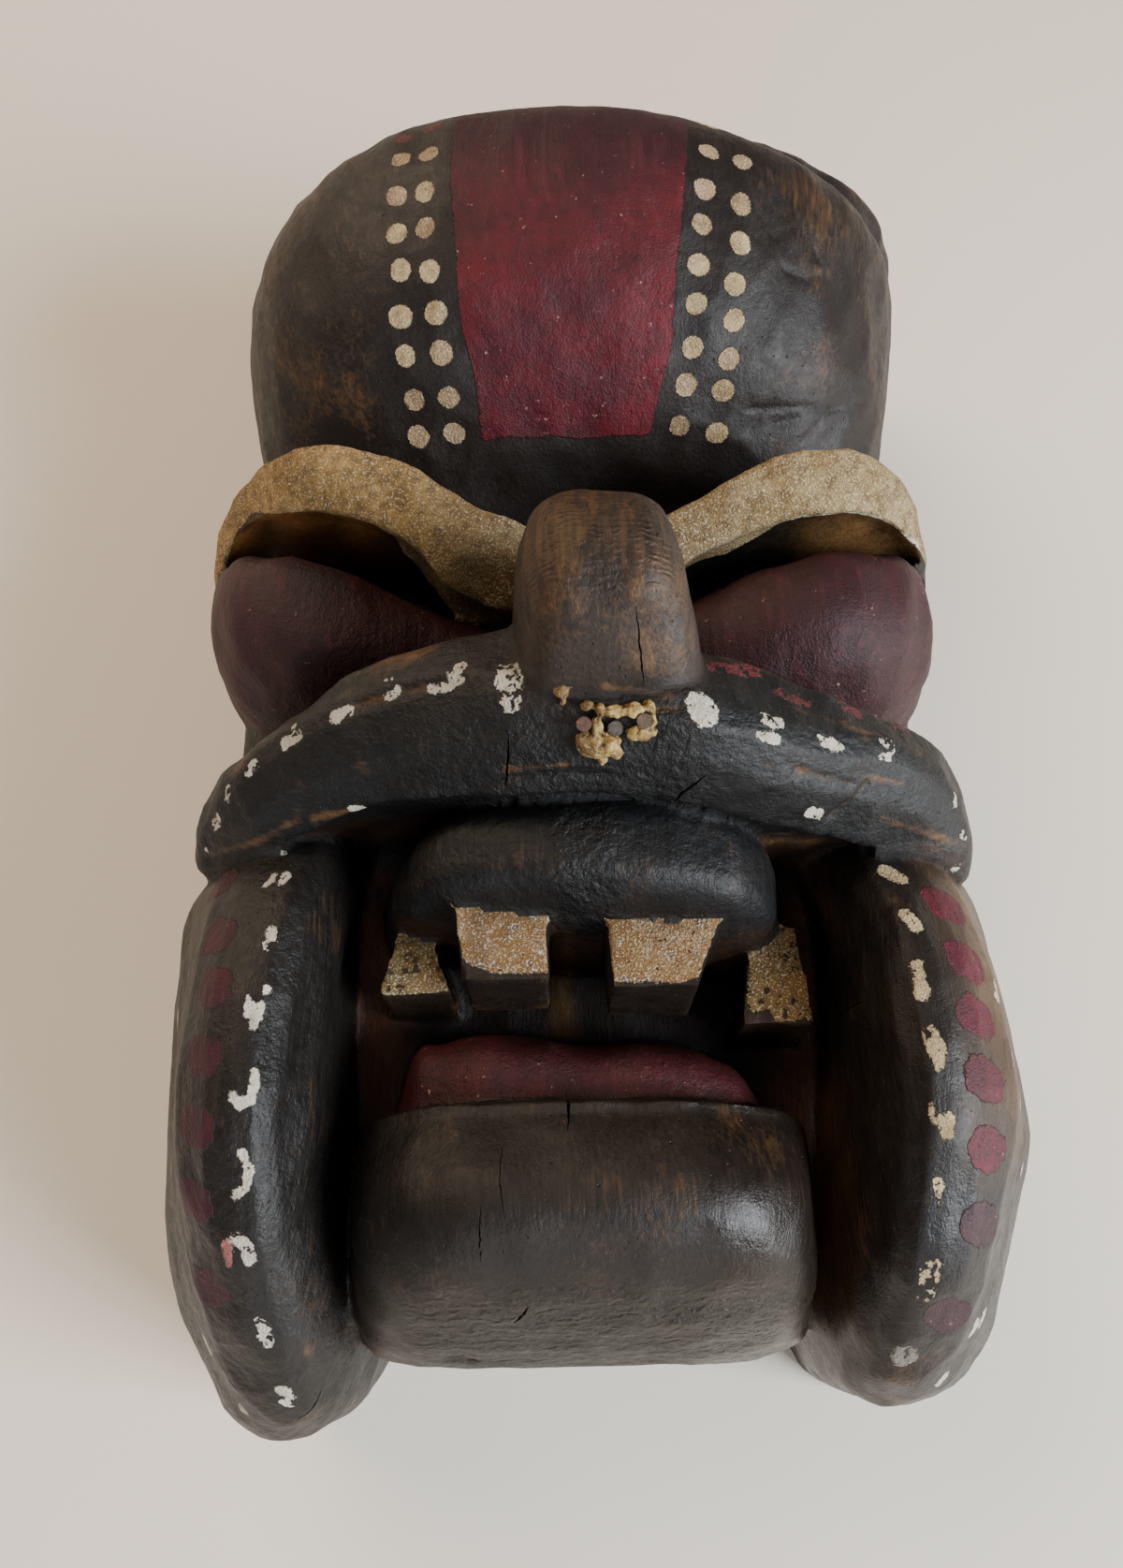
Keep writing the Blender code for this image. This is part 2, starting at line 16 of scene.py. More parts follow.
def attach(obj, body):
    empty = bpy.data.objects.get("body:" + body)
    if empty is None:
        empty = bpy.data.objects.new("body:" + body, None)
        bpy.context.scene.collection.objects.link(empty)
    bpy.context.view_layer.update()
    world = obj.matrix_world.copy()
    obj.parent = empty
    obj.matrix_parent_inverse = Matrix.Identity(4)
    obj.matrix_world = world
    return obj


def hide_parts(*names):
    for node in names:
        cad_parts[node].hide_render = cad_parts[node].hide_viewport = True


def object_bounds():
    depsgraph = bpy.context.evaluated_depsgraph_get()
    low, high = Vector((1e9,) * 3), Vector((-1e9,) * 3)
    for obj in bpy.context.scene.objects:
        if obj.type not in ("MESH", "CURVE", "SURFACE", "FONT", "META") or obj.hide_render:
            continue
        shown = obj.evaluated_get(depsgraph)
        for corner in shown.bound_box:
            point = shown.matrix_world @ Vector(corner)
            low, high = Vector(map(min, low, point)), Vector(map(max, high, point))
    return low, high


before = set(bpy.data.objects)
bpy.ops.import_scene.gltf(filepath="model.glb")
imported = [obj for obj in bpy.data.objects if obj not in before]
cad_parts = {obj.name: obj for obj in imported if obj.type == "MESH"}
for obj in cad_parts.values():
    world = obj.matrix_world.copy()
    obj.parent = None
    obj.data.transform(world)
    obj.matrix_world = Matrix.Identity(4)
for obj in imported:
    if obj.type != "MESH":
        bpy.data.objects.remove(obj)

cad_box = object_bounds()

# The mask
# One block of African hardwood, carved green with adze and knife, hollowed from the back and stained near
# black. The carver left the features standing as rounded blocks that run into each other.

MM = 0.001
RIM_MIDDLE = Vector((2.05, -0.73, 0))   # where the CAD model's origin lies on the carver's lines
BLOCK_WAIST = 50
RIM_TAPER = 0.93
CUT_DEPTH = 12
SECTION_COUNT = 110
SECTION_POINTS = 64


def smooth_rows(rows, count=SECTION_COUNT):
    """The rows drawn as smooth curves against their first column, at count evenly spaced values of it."""
    table = np.array(rows, float)
    if table[0, 0] > table[-1, 0]:
        table = table[::-1]
    knots = table[:, 0]
    slopes = np.gradient(table, knots, axis=0)
    places = np.linspace(knots[0], knots[-1], count)
    spans = np.clip(np.searchsorted(knots, places, side="right") - 1, 0, len(knots) - 2)
    width = (knots[spans + 1] - knots[spans])[:, None]
    t = ((places - knots[spans])[:, None]) / width
    start = (2 * t**3 - 3 * t**2 + 1) * table[spans] + (t**3 - 2 * t**2 + t) * width * slopes[spans]
    end = (3 * t**2 - 2 * t**3) * table[spans + 1] + (t**3 - t**2) * width * slopes[spans + 1]
    return start + end


def oval(across, along, half_across, half_along, power):
    """A rounded outline: power 2 is an ellipse, and more makes it boxier."""
    turn = np.arange(SECTION_POINTS) * 2 * math.pi / SECTION_POINTS
    c, s = np.cos(turn), np.sin(turn)
    x = across + half_across * np.sign(c) * np.abs(c) ** (2 / power)
    y = along + half_along * np.sign(s) * np.abs(s) ** (2 / power)
    return list(zip(x, y))


def across_face(y, ring):
    """Points (x, z) of a section that is cut straight across the face at y."""
    return [(x, y, z) for x, z in ring]


def along_face(x, ring):
    """Points (y, z) of a section that is cut from chin to crown at x."""
    return [(x, y, z) for y, z in ring]


def deselect_all():
    """Leaves nothing selected, because an operator acts on all that is."""
    bpy.ops.object.select_all(action="DESELECT")


def rolled(name, rings):
    """A carved form: a grid rolled through its sections, sewn up along its seam and closed at its ends."""
    deselect_all()
    points = len(rings[0])
    bpy.ops.mesh.primitive_grid_add(x_subdivisions=points, y_subdivisions=len(rings) - 1)
    obj = bpy.context.object
    obj.name = name
    places = np.array([(*ring, ring[0]) for ring in rings], float).reshape(-1, 3)
    obj.data.vertices.foreach_set("co", ((places - RIM_MIDDLE) * MM).ravel())
    bpy.ops.object.mode_set(mode="EDIT")
    bpy.ops.mesh.select_all(action="SELECT")
    bpy.ops.mesh.remove_doubles(threshold=1e-6)
    bpy.ops.mesh.fill_holes(sides=0)
    bpy.ops.mesh.normals_make_consistent(inside=False)
    bpy.ops.object.mode_set(mode="OBJECT")
    return obj


# y, half width to the left, half width to the right, crown, boxiness of the left and of the right
block_rows = [
    (-151, 34, 34, 46, 2.6, 2.6),
    (-146, 50, 50, 54, 2.8, 2.8),
    (-136, 68, 70, 60, 3.0, 3.0),
    (-125, 80, 84, 64, 3.2, 3.2),
    (-90, 90, 93, 68, 3.4, 3.4),
    (-50, 90, 90, 76, 3.2, 3.2),
    (-10, 88, 87, 82, 3.0, 3.0),
    (30, 89, 87, 80, 2.8, 2.8),
    (50, 87, 86, 84, 2.6, 2.6),
    (60, 86, 85, 102, 2.4, 2.4),
    (74, 88, 88, 121, 2.5, 2.4),
    (95, 92.5, 92, 134, 2.5, 2.4),
    (120, 93.5, 95.7, 138, 2.45, 2.45),
    (140, 86, 99, 129, 2.45, 1.95),
    (152, 75, 100.5, 111, 2.5, 2.6),
    (160, 58, 96.5, 91, 3.0, 2.7),
    (165, 36, 95, 72, 3.4, 4.3),
]
quarter = SECTION_POINTS // 4
rings = []
for y, left, right, crown, left_power, right_power in smooth_rows(block_rows):
    right_arc = oval(0, 0, right, 1, right_power)[:quarter]
    left_arc = oval(0, 0, left, 1, left_power)[quarter : 2 * quarter + 1]
    ring = [(x, BLOCK_WAIST + (crown - BLOCK_WAIST) * z) for x, z in right_arc + left_arc]
    ring += [(-left * RIM_TAPER, 0), (-left * RIM_TAPER, -CUT_DEPTH)]
    ring += [(right * RIM_TAPER, -CUT_DEPTH), (right * RIM_TAPER, 0)]
    rings.append(across_face(y, ring))
forms = {"block": rolled("block", rings)}

# The two curved jowls beside the mouth: a steep inner wall, a rounded ridge and an outer facet.
# y, inner foot, ridge, height of the ridge, outer edge, height of the outer edge
jowl_rows = {
    "jowl right": [
        (-162.5, 57, 62, 58, 68, 48),
        (-160, 51, 60.5, 66, 75, 49),
        (-152, 46.5, 60, 79, 84, 51),
        (-140, 46.5, 61.5, 93, 90.5, 53),
        (-125, 48, 63, 103, 95.5, 54.5),
        (-110, 50, 64.5, 109.5, 101, 55),
        (-90, 52, 64, 112.5, 101.5, 56),
        (-72, 53, 63, 110, 98.3, 60),
        (-55, 53, 59, 102, 93.5, 64),
        (-40, 52, 55, 88, 84, 64),
    ],
    "jowl left": [
        (-166.5, 57, 65, 55, 72, 47),
        (-163, 51, 63, 65, 77.2, 48),
        (-154, 46.5, 62, 78, 83.8, 51),
        (-140, 47, 63.5, 93, 91, 53),
        (-125, 49.5, 65, 104, 95, 54.5),
        (-110, 51.5, 65.3, 110.5, 97, 55),
        (-90, 53, 65, 112.5, 98, 56),
        (-72, 53, 63.3, 110, 97.5, 60),
        (-55, 53, 61, 102, 95.5, 64),
        (-40, 52, 57, 88, 87, 64),
    ],
}
for name, rows in jowl_rows.items():
    side = 1 if name == "jowl right" else -1
    rings = []
    for y, foot, ridge, ridge_top, edge, edge_top in smooth_rows(rows):
        thick = min(1.0, (edge - foot) / 40)
        lean = 0.2 * max(0, -140 - y)
        ring = [
            (foot + 2 * lean, -CUT_DEPTH),
            (foot + lean, ridge_top - 42 * thick),
            (ridge - 10 * thick, ridge_top - 15.5 * thick),
            (ridge - 5.5 * thick, ridge_top - 5 * thick),
            (ridge - 1.5 * thick, ridge_top - 1 * thick),
            (ridge + 3 * thick, ridge_top - 1 * thick),
            (ridge + 0.28 * (edge - ridge), edge_top + 0.93 * (ridge_top - edge_top)),
            (ridge + 0.50 * (edge - ridge), edge_top + 0.79 * (ridge_top - edge_top)),
            (edge - 4 * thick, edge_top + 9 * thick),
            (edge, edge_top),
            (edge - 3 * thick, edge_top - 14 * thick),
            (foot + 0.8 * (edge - foot), 0),
            (foot + 0.8 * (edge - foot), -CUT_DEPTH),
        ]
        rings.append(across_face(y, [(side * x, z) for x, z in ring]))
    forms[name] = rolled(name, rings)

# The thick brows: a broad face between an upper and a lower edge, hanging over the eye.
# x, upper edge y and z, lower edge y and z
BROW_ROOT = 58
brow_rows = {
    "brow left": [
        (-94, 32, 76, 28, 74),
        (-92, 35.5, 85, 29, 81),
        (-87.5, 40, 95, 31.5, 90),
        (-80, 43, 105, 33, 99),
        (-69.5, 42, 115, 29.5, 108),
        (-57.5, 40, 120, 27, 112),
        (-46.7, 38, 120, 23, 112),
        (-38, 34.5, 119, 18, 110),
        (-30, 31, 115, 10.5, 104),
        (-21.5, 28.5, 111, 9, 98),
        (-14, 26, 109, 9, 95),
        (-6, 24, 106, 9, 92),
    ],
    "brow right": [
        (8, 24, 108, 13, 96),
        (22.5, 27, 111, 16, 103),
        (31, 30.5, 114, 19, 107),
        (39, 33.5, 118, 21.5, 110),
        (49.6, 36, 120, 24, 112),
        (60.4, 37, 120, 25, 112),
        (72, 38.5, 112, 26.5, 107),
        (80.5, 38, 102, 27, 98),
        (87, 33, 90, 26, 87),
        (90.5, 29, 78, 25, 76),
    ],
}
for name, rows in brow_rows.items():
    rings = []
    for x, top_y, top_z, low_y, low_z in smooth_rows(rows):
        root_z = max(low_z - 45, BROW_ROOT)
        rings.append(along_face(x, [
            (top_y + 8, root_z),
            (top_y + 4, top_z - 9),
            (top_y, top_z),
            ((top_y + low_y) / 2, (top_z + low_z) / 2 + 1.5),
            (low_y, low_z),
            (low_y + 3, low_z - 6),
            (low_y + 6, root_z),
        ]))
    forms[name] = rolled(name, rings)

# The swelling under each eye, broad at the temple and thin beside the nose.
# x, y of the middle, height of the middle, half length, half height
swell_rows = {
    "eye swell left": [
        (-94, 19, 66, 4, 6),
        (-91.5, 18.5, 68, 11.5, 17),
        (-85, 13.5, 71, 19, 28),
        (-74, 8, 74, 22, 34),
        (-60, 4, 76, 21.5, 35),
        (-46, 1, 76, 18.5, 30),
        (-34, -1, 77, 15.5, 23),
        (-20, -2.5, 78, 13.5, 17),
        (-8, -4, 78, 12, 14),
    ],
    "eye swell right": [
        (8, -4, 79, 12, 14),
        (20, -2, 79, 14.5, 18),
        (32, 0, 79, 18.5, 25),
        (45, 2, 77, 20.5, 33),
        (58, 4, 75, 22, 37),
        (70, 6, 73, 22, 35),
        (80, 10, 71, 20, 29),
        (87, 13, 68, 14, 18),
        (89.5, 13, 66, 5, 6),
    ],
}
for name, rows in swell_rows.items():
    forms[name] = rolled(name, [
        along_face(x, oval(y, z, half_length, half_height, 2.3))
        for x, y, z, half_length, half_height in smooth_rows(rows)
    ])

# The blunt nose, like an upright thumb that stands highest just above the moustache.
# y, left side, right side, height of the top
nose_rows = [
    (-40, -15, 24, 139),
    (-36.5, -15, 23.5, 146),
    (-31, -15, 23, 153.5),
    (-25, -15, 22, 159.5),
    (-17, -15, 21, 162),
    (-8, -14.5, 19.5, 160.5),
    (-1, -13.5, 18, 155),
    (4, -12.5, 16.5, 145.5),
    (8, -12, 15.5, 132),
    (14, -11, 15, 114),
    (24, -10, 13, 100),
    (36, -8, 11, 92),
]
NOSE_ROOT = 60
rings = []
for y, left, right, top in smooth_rows(nose_rows):
    middle, half = (left + right) / 2, (right - left) / 2
    rings.append(across_face(y, oval(middle, (top + NOSE_ROOT) / 2, half, (top - NOSE_ROOT) / 2, 3.6)))
forms["nose"] = rolled("nose", rings)

# The broad band over the mouth: an upper facet, a ridge, and a front facet that hangs over the gum.
# x, upper edge y and z, ridge y and z, lower edge y and z
moustache_rows = [
    (-88, -45.5, 87, -47, 87.5, -49.5, 86),
    (-86.5, -41.5, 92, -45.5, 91.5, -52, 86.5),
    (-82, -35.5, 98, -41, 99, -52.5, 90),
    (-73.5, -31.5, 105, -38, 108.5, -52, 95.5),
    (-61, -26.5, 114, -34, 118.5, -50.5, 103.5),
    (-49, -22, 123.5, -32, 125.5, -48.5, 111),
    (-38, -20, 128, -31, 131, -48.5, 117),
    (-27, -19, 131, -32, 136, -50, 121.5),
    (-15, -18, 134, -35, 140.5, -51, 125),
    (3.5, -20, 136, -38.5, 142.5, -51.5, 126),
    (20, -24, 134.5, -41.5, 142, -53, 123),
    (34, -26.5, 131.5, -42.5, 136, -55, 118),
    (47, -29.5, 127, -42.5, 129, -55, 111.5),
    (60, -31, 119, -41, 122, -55, 104),
    (73, -32.5, 110, -41.5, 112, -56.5, 95.5),
    (80.5, -35.5, 101, -45, 103, -58, 90.5),
    (84.5, -40, 94, -48, 95.5, -57, 87.5),
    (86.5, -43.5, 89, -48.5, 89.5, -53, 86),
]
rings = []
for x, top_y, top_z, ridge_y, ridge_z, low_y, low_z in smooth_rows(moustache_rows):
    depth = min(1.0, (ridge_z - 84) / 28)
    rings.append(along_face(x, [
        (top_y + 3 * depth, top_z - 9 * depth),
        (top_y, top_z),
        (ridge_y + 3 * depth, ridge_z - 0.4),
        (ridge_y - 2 * depth, ridge_z - 1.2 * depth),
        ((ridge_y + low_y) / 2 - 1.5 * depth, (ridge_z + low_z) / 2 + 1.5 * depth),
        (low_y, low_z),
        (low_y + 4 * depth, low_z - 6 * depth),
        (low_y + 5 * depth, low_z - 40 * depth),
        (top_y + 2 * depth, low_z - 40 * depth),
    ]))
forms["moustache"] = rolled("moustache", rings)

# The smooth upper gum that swells out under the moustache.
# x, upper edge y, lower edge y, height of the crown
gum_rows = [
    (-46.5, -57, -64, 74),
    (-44, -54, -67.5, 88),
    (-38.5, -50, -69, 102),
    (-31, -46, -70, 111.5),
    (-20, -44, -71, 116.5),
    (0, -44, -72.5, 120.5),
    (20, -44, -73.5, 118),
    (32, -47, -73.5, 112),
    (39, -51, -72, 100),
    (43, -55, -69.5, 84),
]
GUM_ROOT = 60
forms["gum"] = rolled("gum", [
    along_face(x, oval((upper + lower) / 2, GUM_ROOT, (upper - lower) / 2, crown - GUM_ROOT, 3.6))
    for x, upper, lower, crown in smooth_rows(gum_rows)
])

# The four tapered teeth, whose biting ends are cut square.
# x at the gum, x at the biting end, y at the gum and at the end, height of the front, depth
tooth_sizes = {
    "tooth inner left": (-29, -8, -25.5, -8.5, -62, -83, 108, 26),
    "tooth inner right": (3, 29, 3.5, 21, -64, -85, 108, 26),
    "tooth outer left": (-42, -33.5, -44.5, -28.5, -68, -81.5, 91, 32),
    "tooth outer right": (35, 45, 31.5, 47, -67, -89, 91, 32),
}
for name, sizes in tooth_sizes.items():
    top_left, top_right, low_left, low_right, top_y, low_y, front, tooth_depth = sizes
    deselect_all()
    bpy.ops.mesh.primitive_cube_add(size=2)
    tooth = bpy.context.object
    tooth.name = name
    for vertex in tooth.data.vertices:
        at_right, at_end, at_front = vertex.co.x > 0, vertex.co.y < 0, vertex.co.z > 0
        left_x, right_x = (low_left, low_right) if at_end else (top_left, top_right)
        place = Vector((
            right_x if at_right else left_x,
            low_y if at_end else top_y,
            front if at_front else front - tooth_depth,
        ))
        vertex.co = (place - RIM_MIDDLE) * MM
    forms[name] = tooth

# The thin lower lip that lies along the top of the chin.
# x, y of the middle, height of the top, half length
lip_rows = [
    (-42, -106, 76, 4),
    (-39, -101, 84, 10),
    (-31, -99.5, 89.5, 12),
    (0, -101, 92, 12.5),
    (24, -103, 91, 12.5),
    (33, -107, 87, 11),
    (38.5, -112, 78, 5),
]
LIP_ROOT = 55
forms["lower lip"] = rolled("lower lip", [
    along_face(x, oval(y, LIP_ROOT, half, top - LIP_ROOT, 2.8))
    for x, y, top, half in smooth_rows(lip_rows)
])

# The rounded chin between the jowls, with a sharp upper edge against the lip.
# y and z round its middle section, from the back of the upper edge over the front to the underside
chin_profile = [
    (-104.5, 40), (-104.5, 95.5), (-107.5, 100.5), (-113, 104.5), (-121, 108), (-129, 107),
    (-137, 101), (-144, 90), (-149.5, 76), (-153, 60), (-153.5, 45), (-150, 20),
    (-148, -12), (-110, -12),
]
numbered = [(number, y, z) for number, (y, z) in enumerate(chin_profile)]
chin_curve = smooth_rows(numbered, 4 * len(chin_profile))
CHIN_CENTRE = (-126, 62)
CHIN_MIDDLE = -2
CHIN_HALF_WIDTH = 48
CHIN_SMALLEST = 0.35         # size of its end sections, as a share of the middle one
CHIN_BOXINESS = 5.5          # how square the ends look from the front
CHIN_FRONT_BOXINESS = 3.2    # how square they look from above
rings = []
for share in -np.cos(np.linspace(0, math.pi, SECTION_COUNT)):
    size = max(CHIN_SMALLEST, (1 - abs(share) ** CHIN_BOXINESS) ** (1 / CHIN_BOXINESS))
    length = CHIN_SMALLEST + (1 - CHIN_SMALLEST) * size
    height = (1 - abs(share) ** CHIN_FRONT_BOXINESS) ** (1 / CHIN_FRONT_BOXINESS)
    height = max(CHIN_SMALLEST, height)
    rings.append(along_face(CHIN_MIDDLE + CHIN_HALF_WIDTH * share, [
        (CHIN_CENTRE[0] + (y - CHIN_CENTRE[0]) * length, CHIN_CENTRE[1] + (z - CHIN_CENTRE[1]) * height)
        for _, y, z in chin_curve
    ]))
forms["chin"] = rolled("chin", rings)

# Joining the forms. Each is kept as a search tree, which later tells the stain and paint where they are.
FORM_NAMES = list(forms)
SKIN_VOXEL = 0.001
SKIN_RUB_PASSES = 4


def tree_of(obj):
    """A search tree over a mesh whose place is in its vertices."""
    corners = [v.co.copy() for v in obj.data.vertices]
    return BVHTree.FromPolygons(corners, [tuple(face.vertices) for face in obj.data.polygons])


def apply_modifiers(obj):
    """Applies all of a piece's modifiers, in order."""
    deselect_all()
    obj.select_set(True)
    bpy.context.view_layer.objects.active = obj
    for modifier in list(obj.modifiers):
        bpy.ops.object.modifier_apply(modifier=modifier.name)


def cut_away(obj, cutter):
    """Cuts a cutter out of a piece and removes the cutter."""
    cut = obj.modifiers.new(cutter.name, "BOOLEAN")
    cut.operation = "DIFFERENCE"
    cut.solver = "MANIFOLD"
    cut.object = cutter
    apply_modifiers(obj)
    bpy.data.objects.remove(cutter)


form_trees = [tree_of(forms[name]) for name in FORM_NAMES]
deselect_all()
for obj in forms.values():
    obj.select_set(True)
bpy.context.view_layer.objects.active = forms["block"]
bpy.ops.object.join()
mask = bpy.context.object
mask.name = "carved_mask"
skin = mask.modifiers.new("one skin", "REMESH")
skin.mode = "VOXEL"
skin.voxel_size = SKIN_VOXEL
rub = mask.modifiers.new("rubbed down", "SMOOTH")
rub.factor = 0.5
rub.iterations = SKIN_RUB_PASSES
apply_modifiers(mask)


def mesh_places(obj):
    """Every vertex as millimetres on the carver's lines."""
    flat = np.empty(len(obj.data.vertices) * 3, np.float32)
    obj.data.vertices.foreach_get("co", flat)
    return flat.reshape(-1, 3) / MM + np.array(RIM_MIDDLE)


def mesh_normals(obj):
    """The direction in which every vertex faces."""
    flat = np.empty(len(obj.data.vertices) * 3, np.float32)
    obj.data.vertex_normals.foreach_get("vector", flat)
    return flat.reshape(-1, 3).astype(float)


def move_vertices(obj, places):
    """Puts every vertex at its new place, given as millimetres on the carver's lines."""
    metres = (places - np.array(RIM_MIDDLE)) * MM
    obj.data.vertices.foreach_set("co", metres.astype(np.float32).ravel())
    obj.data.update()


def patchiness(places, size, seed):
    """Smooth random numbers from -1 to 1 that change over size millimetres."""
    cells = places / size + seed * 7.31
    low = np.floor(cells).astype(np.int64)
    t = cells - low
    t = t * t * (3 - 2 * t)
    total = np.zeros(len(places))
    for corner in np.ndindex(2, 2, 2):
        x, y, z = (low + corner).T
        # Large odd numbers shuffle a cell's place and the seed into one number that looks random
        key = (x * 73856093) ^ (y * 19349663) ^ (z * 83492791) ^ (seed * 2654435)
        key = ((key ^ (key >> 13)) * 1274126177) & 0x7FFFFFFF
        weight = np.prod(np.where(corner, t, 1 - t), axis=1)
        total += weight * (key / 0x3FFFFFFF - 1)
    return total


CUT_REACH = 0.35   # square of a cut's reach from its middle, in cells


def knife_cuts(places, cell, depth):
    """How far each place is cut in by overlapping tool cuts, each cell (x, y, z) in size."""
    scaled = places / np.array(cell)
    nearest = np.array([
        noise.voronoi(Vector(place), distance_metric="DISTANCE_SQUARED")[0][0] for place in scaled
    ])
    return depth * np.clip(1 - nearest / CUT_REACH, 0, 1)


# Dents, scars and lumps of the surface: a chain of places, the reach of the mark and its height, which is
# below zero for a dent
marks_in_wood = [
    ([(-27, 143, 125), (-22, 146, 123)], 2.6, -1.6),
    ([(54, 94.6, 122.8)], 1.6, -0.5),
    ([(50, 97, 125.5), (54, 101.5, 124.5), (59, 100.5, 121.5), (61, 96, 119.5)], 0.9, -0.6),
    ([(52, 90.5, 122), (58, 90, 119.5), (62, 93, 118)], 0.9, -0.5),
    ([(44, 60, 98), (52, 70, 106), (58, 79, 109)], 0.8, -0.6),
    ([(58, 60, 93), (66, 68, 97), (74, 72, 95)], 0.8, -0.6),
    ([(44.2, 64, 102.5), (53.6, 65.5, 101), (61.8, 67.7, 99)], 0.8, -0.5),
    ([(49.9, 62.5, 98.6), (61.5, 66.5, 97.7), (76.6, 74.7, 92)], 0.9, -0.6),
    ([(52.6, -47.9, 120.7), (40.3, -47.8, 128)], 0.9, -0.5),
    ([(49.1, -52.6, 115.5), (56.1, -47.4, 119)], 1.0, -0.8),
    ([(-46.3, -30.9, 126), (-33, -31, 132.5), (-24, -31.5, 136.4)], 0.9, -0.5),
    ([(12.1, -40.8, 141.6), (16.6, -41, 141.6)], 0.8, -0.5),
    ([(-57, -144.4, 84)], 1.3, -0.6),
    ([(18.9, -129, 105)], 1.6, -0.6),
    ([(-29, -150.5, 68), (-26, -151.5, 66)], 1.6, -1.4),
    ([(-24, -48.4, 124), (-15.9, -48.4, 128.2), (-4.1, -48.8, 130.6), (5, -49, 130.4)], 0.7, -0.6),
    ([(-51.7, -125.9, 72.7), (-46.7, -132.4, 83.4), (-43.2, -137.1, 87), (-38.2, -143.9, 81.5)], 1.2, -0.9),
]


NEAR, FAR = 14, 99.0   # millimetres


def reach_of(places, chain):
    """Millimetres from each place to a chain of points, or FAR where none of it is near."""
    chain = np.array(chain, float)
    if len(chain) == 1:
        chain = np.repeat(chain, 2, axis=0)
    near = np.all((places > chain.min(axis=0) - NEAR) & (places < chain.max(axis=0) + NEAR), axis=1)
    found = np.full(len(places), FAR)
    here = places[near]
    best = np.full(len(here), FAR)
    for start, end in zip(chain, chain[1:]):
        along = end - start
        share = np.clip((here - start) @ along / max(along @ along, 1e-9), 0, 1)
        best = np.minimum(best, np.linalg.norm(here - start - share[:, None] * along, axis=1))
    found[near] = best
    return found


places = mesh_places(mask)
outward = mesh_normals(mask)
lengthwise = knife_cuts(places, (12, 22, 12), 0.75)
crosswise = knife_cuts(places + 50, (20, 9, 9), 0.6)
band = np.clip(1 - np.abs(places[:, 1] + 42) / 14, 0, 1) * (places[:, 2] > 84)   # the moustache
cuts = lengthwise * (1 - band) + crosswise * band
drift = 0.35 * patchiness(places, np.array((26, 34, 26)), 3)
drift += 0.12 * patchiness(places, np.array((5, 9, 5)), 5)
drift += 0.06 * patchiness(places, 1.7, 6)
height = drift - cuts
for chain, size, amount in marks_in_wood:
    height += amount * np.exp(-((reach_of(places, chain) / size) ** 2))
places = places + outward * height[:, None]

# The surface is kept inside the outline of the solid: its outermost millimetres are pressed in where it
# sticks out
PRESSED_ZONE, SPARE = 4.0, 0.05
for axis in range(3):
    for sign, corner in ((-1, cad_box[0]), (1, cad_box[1])):
        if sign == -1 and axis == 2:
            continue   # the saw cut makes the rim
        limit = sign * (corner[axis] / MM + RIM_MIDDLE[axis]) - SPARE
        reach = sign * places[:, axis]
        start = limit - PRESSED_ZONE
        room = PRESSED_ZONE / max(reach.max() - start, PRESSED_ZONE)
        places[:, axis] = sign * np.where(reach > start, start + (reach - start) * room, reach)
move_vertices(mask, places)


def thin_out(obj, most_triangles, kept=None):
    """Leaves out faces where the surface is flattest, but none between the vertices that are kept."""
    triangles = sum(len(face.vertices) - 2 for face in obj.data.polygons)
    fewer = obj.modifiers.new("fewer faces", "DECIMATE")
    fewer.ratio = min(1.0, most_triangles / triangles)
    if kept is not None:
        group = obj.vertex_groups.new(name="to be thinned")
        group.add(np.flatnonzero(~kept).tolist(), 1.0, "REPLACE")
        fewer.vertex_group = group.name
    apply_modifiers(obj)
    obj.vertex_groups.clear()


# Boxes round what is painted in dots and dabs, where the mesh stays fine: lowest and highest x, y and z
dotted_boxes = [
    ((-47, 55, 94), (-27, 133, 140)),
    ((24, 55, 94), (49, 133, 140)),
    ((-87, -58, 88), (87, -27, 146)),
    ((-82, -161, 66), (-58, -46, 115)),
    ((54, -158, 66), (80, -50, 115)),
    ((-48, -92, 86), (50, -66, 112)),
]
kept = np.zeros(len(places), bool)
for low, high in dotted_boxes:
    kept |= np.all((places > np.array(low)) & (places < np.array(high)), axis=1)
MASK_TRIANGLES, HOLLOW_TRIANGLES = 175_000, 26_000
thin_out(mask, MASK_TRIANGLES, kept)

# The hollow for the wearer's face, gouged out from the back.
WALL = 14
HOLLOW_VOXEL = 0.0022
# y, crown of the hollow, how much more wood than the wall is left at each side
hollow_rows = [
    (-134, 6, 30),
    (-128, 22, 18),
    (-115, 38, 8),
    (-85, 47, 3),
    (-60, 50, 1),
    (-35, 66, 0),
    (-10, 72, 0),
    (30, 66, 0),
    (50, 66, 0),
    (65, 80, 0),
    (80, 98, 0),
    (100, 110, 0),
    (122, 109, 2),
    (138, 92, 8),
    (147, 50, 20),
    (150, 20, 32),
]
# y, half width of the block
half_widths = np.array([
    (-150, 60), (-125, 85), (-90, 90), (-50, 88), (0, 83), (50, 82), (120, 90), (150, 74),
], float)
rings = []
for y, crown, spare in smooth_rows(hollow_rows):
    half = np.interp(y, *half_widths.T) * RIM_TAPER - WALL - spare
    top = oval(0, 0, half, crown, 2.5)[: SECTION_POINTS // 2 + 1]
    rings.append(across_face(y, top + [(-half, -2 * CUT_DEPTH), (half, -2 * CUT_DEPTH)]))
hollow = rolled("hollow", rings)
skin = hollow.modifiers.new("even faces", "REMESH")
skin.mode = "VOXEL"
skin.voxel_size = HOLLOW_VOXEL
apply_modifiers(hollow)
places = mesh_places(hollow)
gouged = 1.1 * patchiness(places, np.array((16, 22, 16)), 8) - knife_cuts(places, (13, 19, 13), 1.3)
gouged += 0.3 * patchiness(places, np.array((4, 6, 4)), 9)
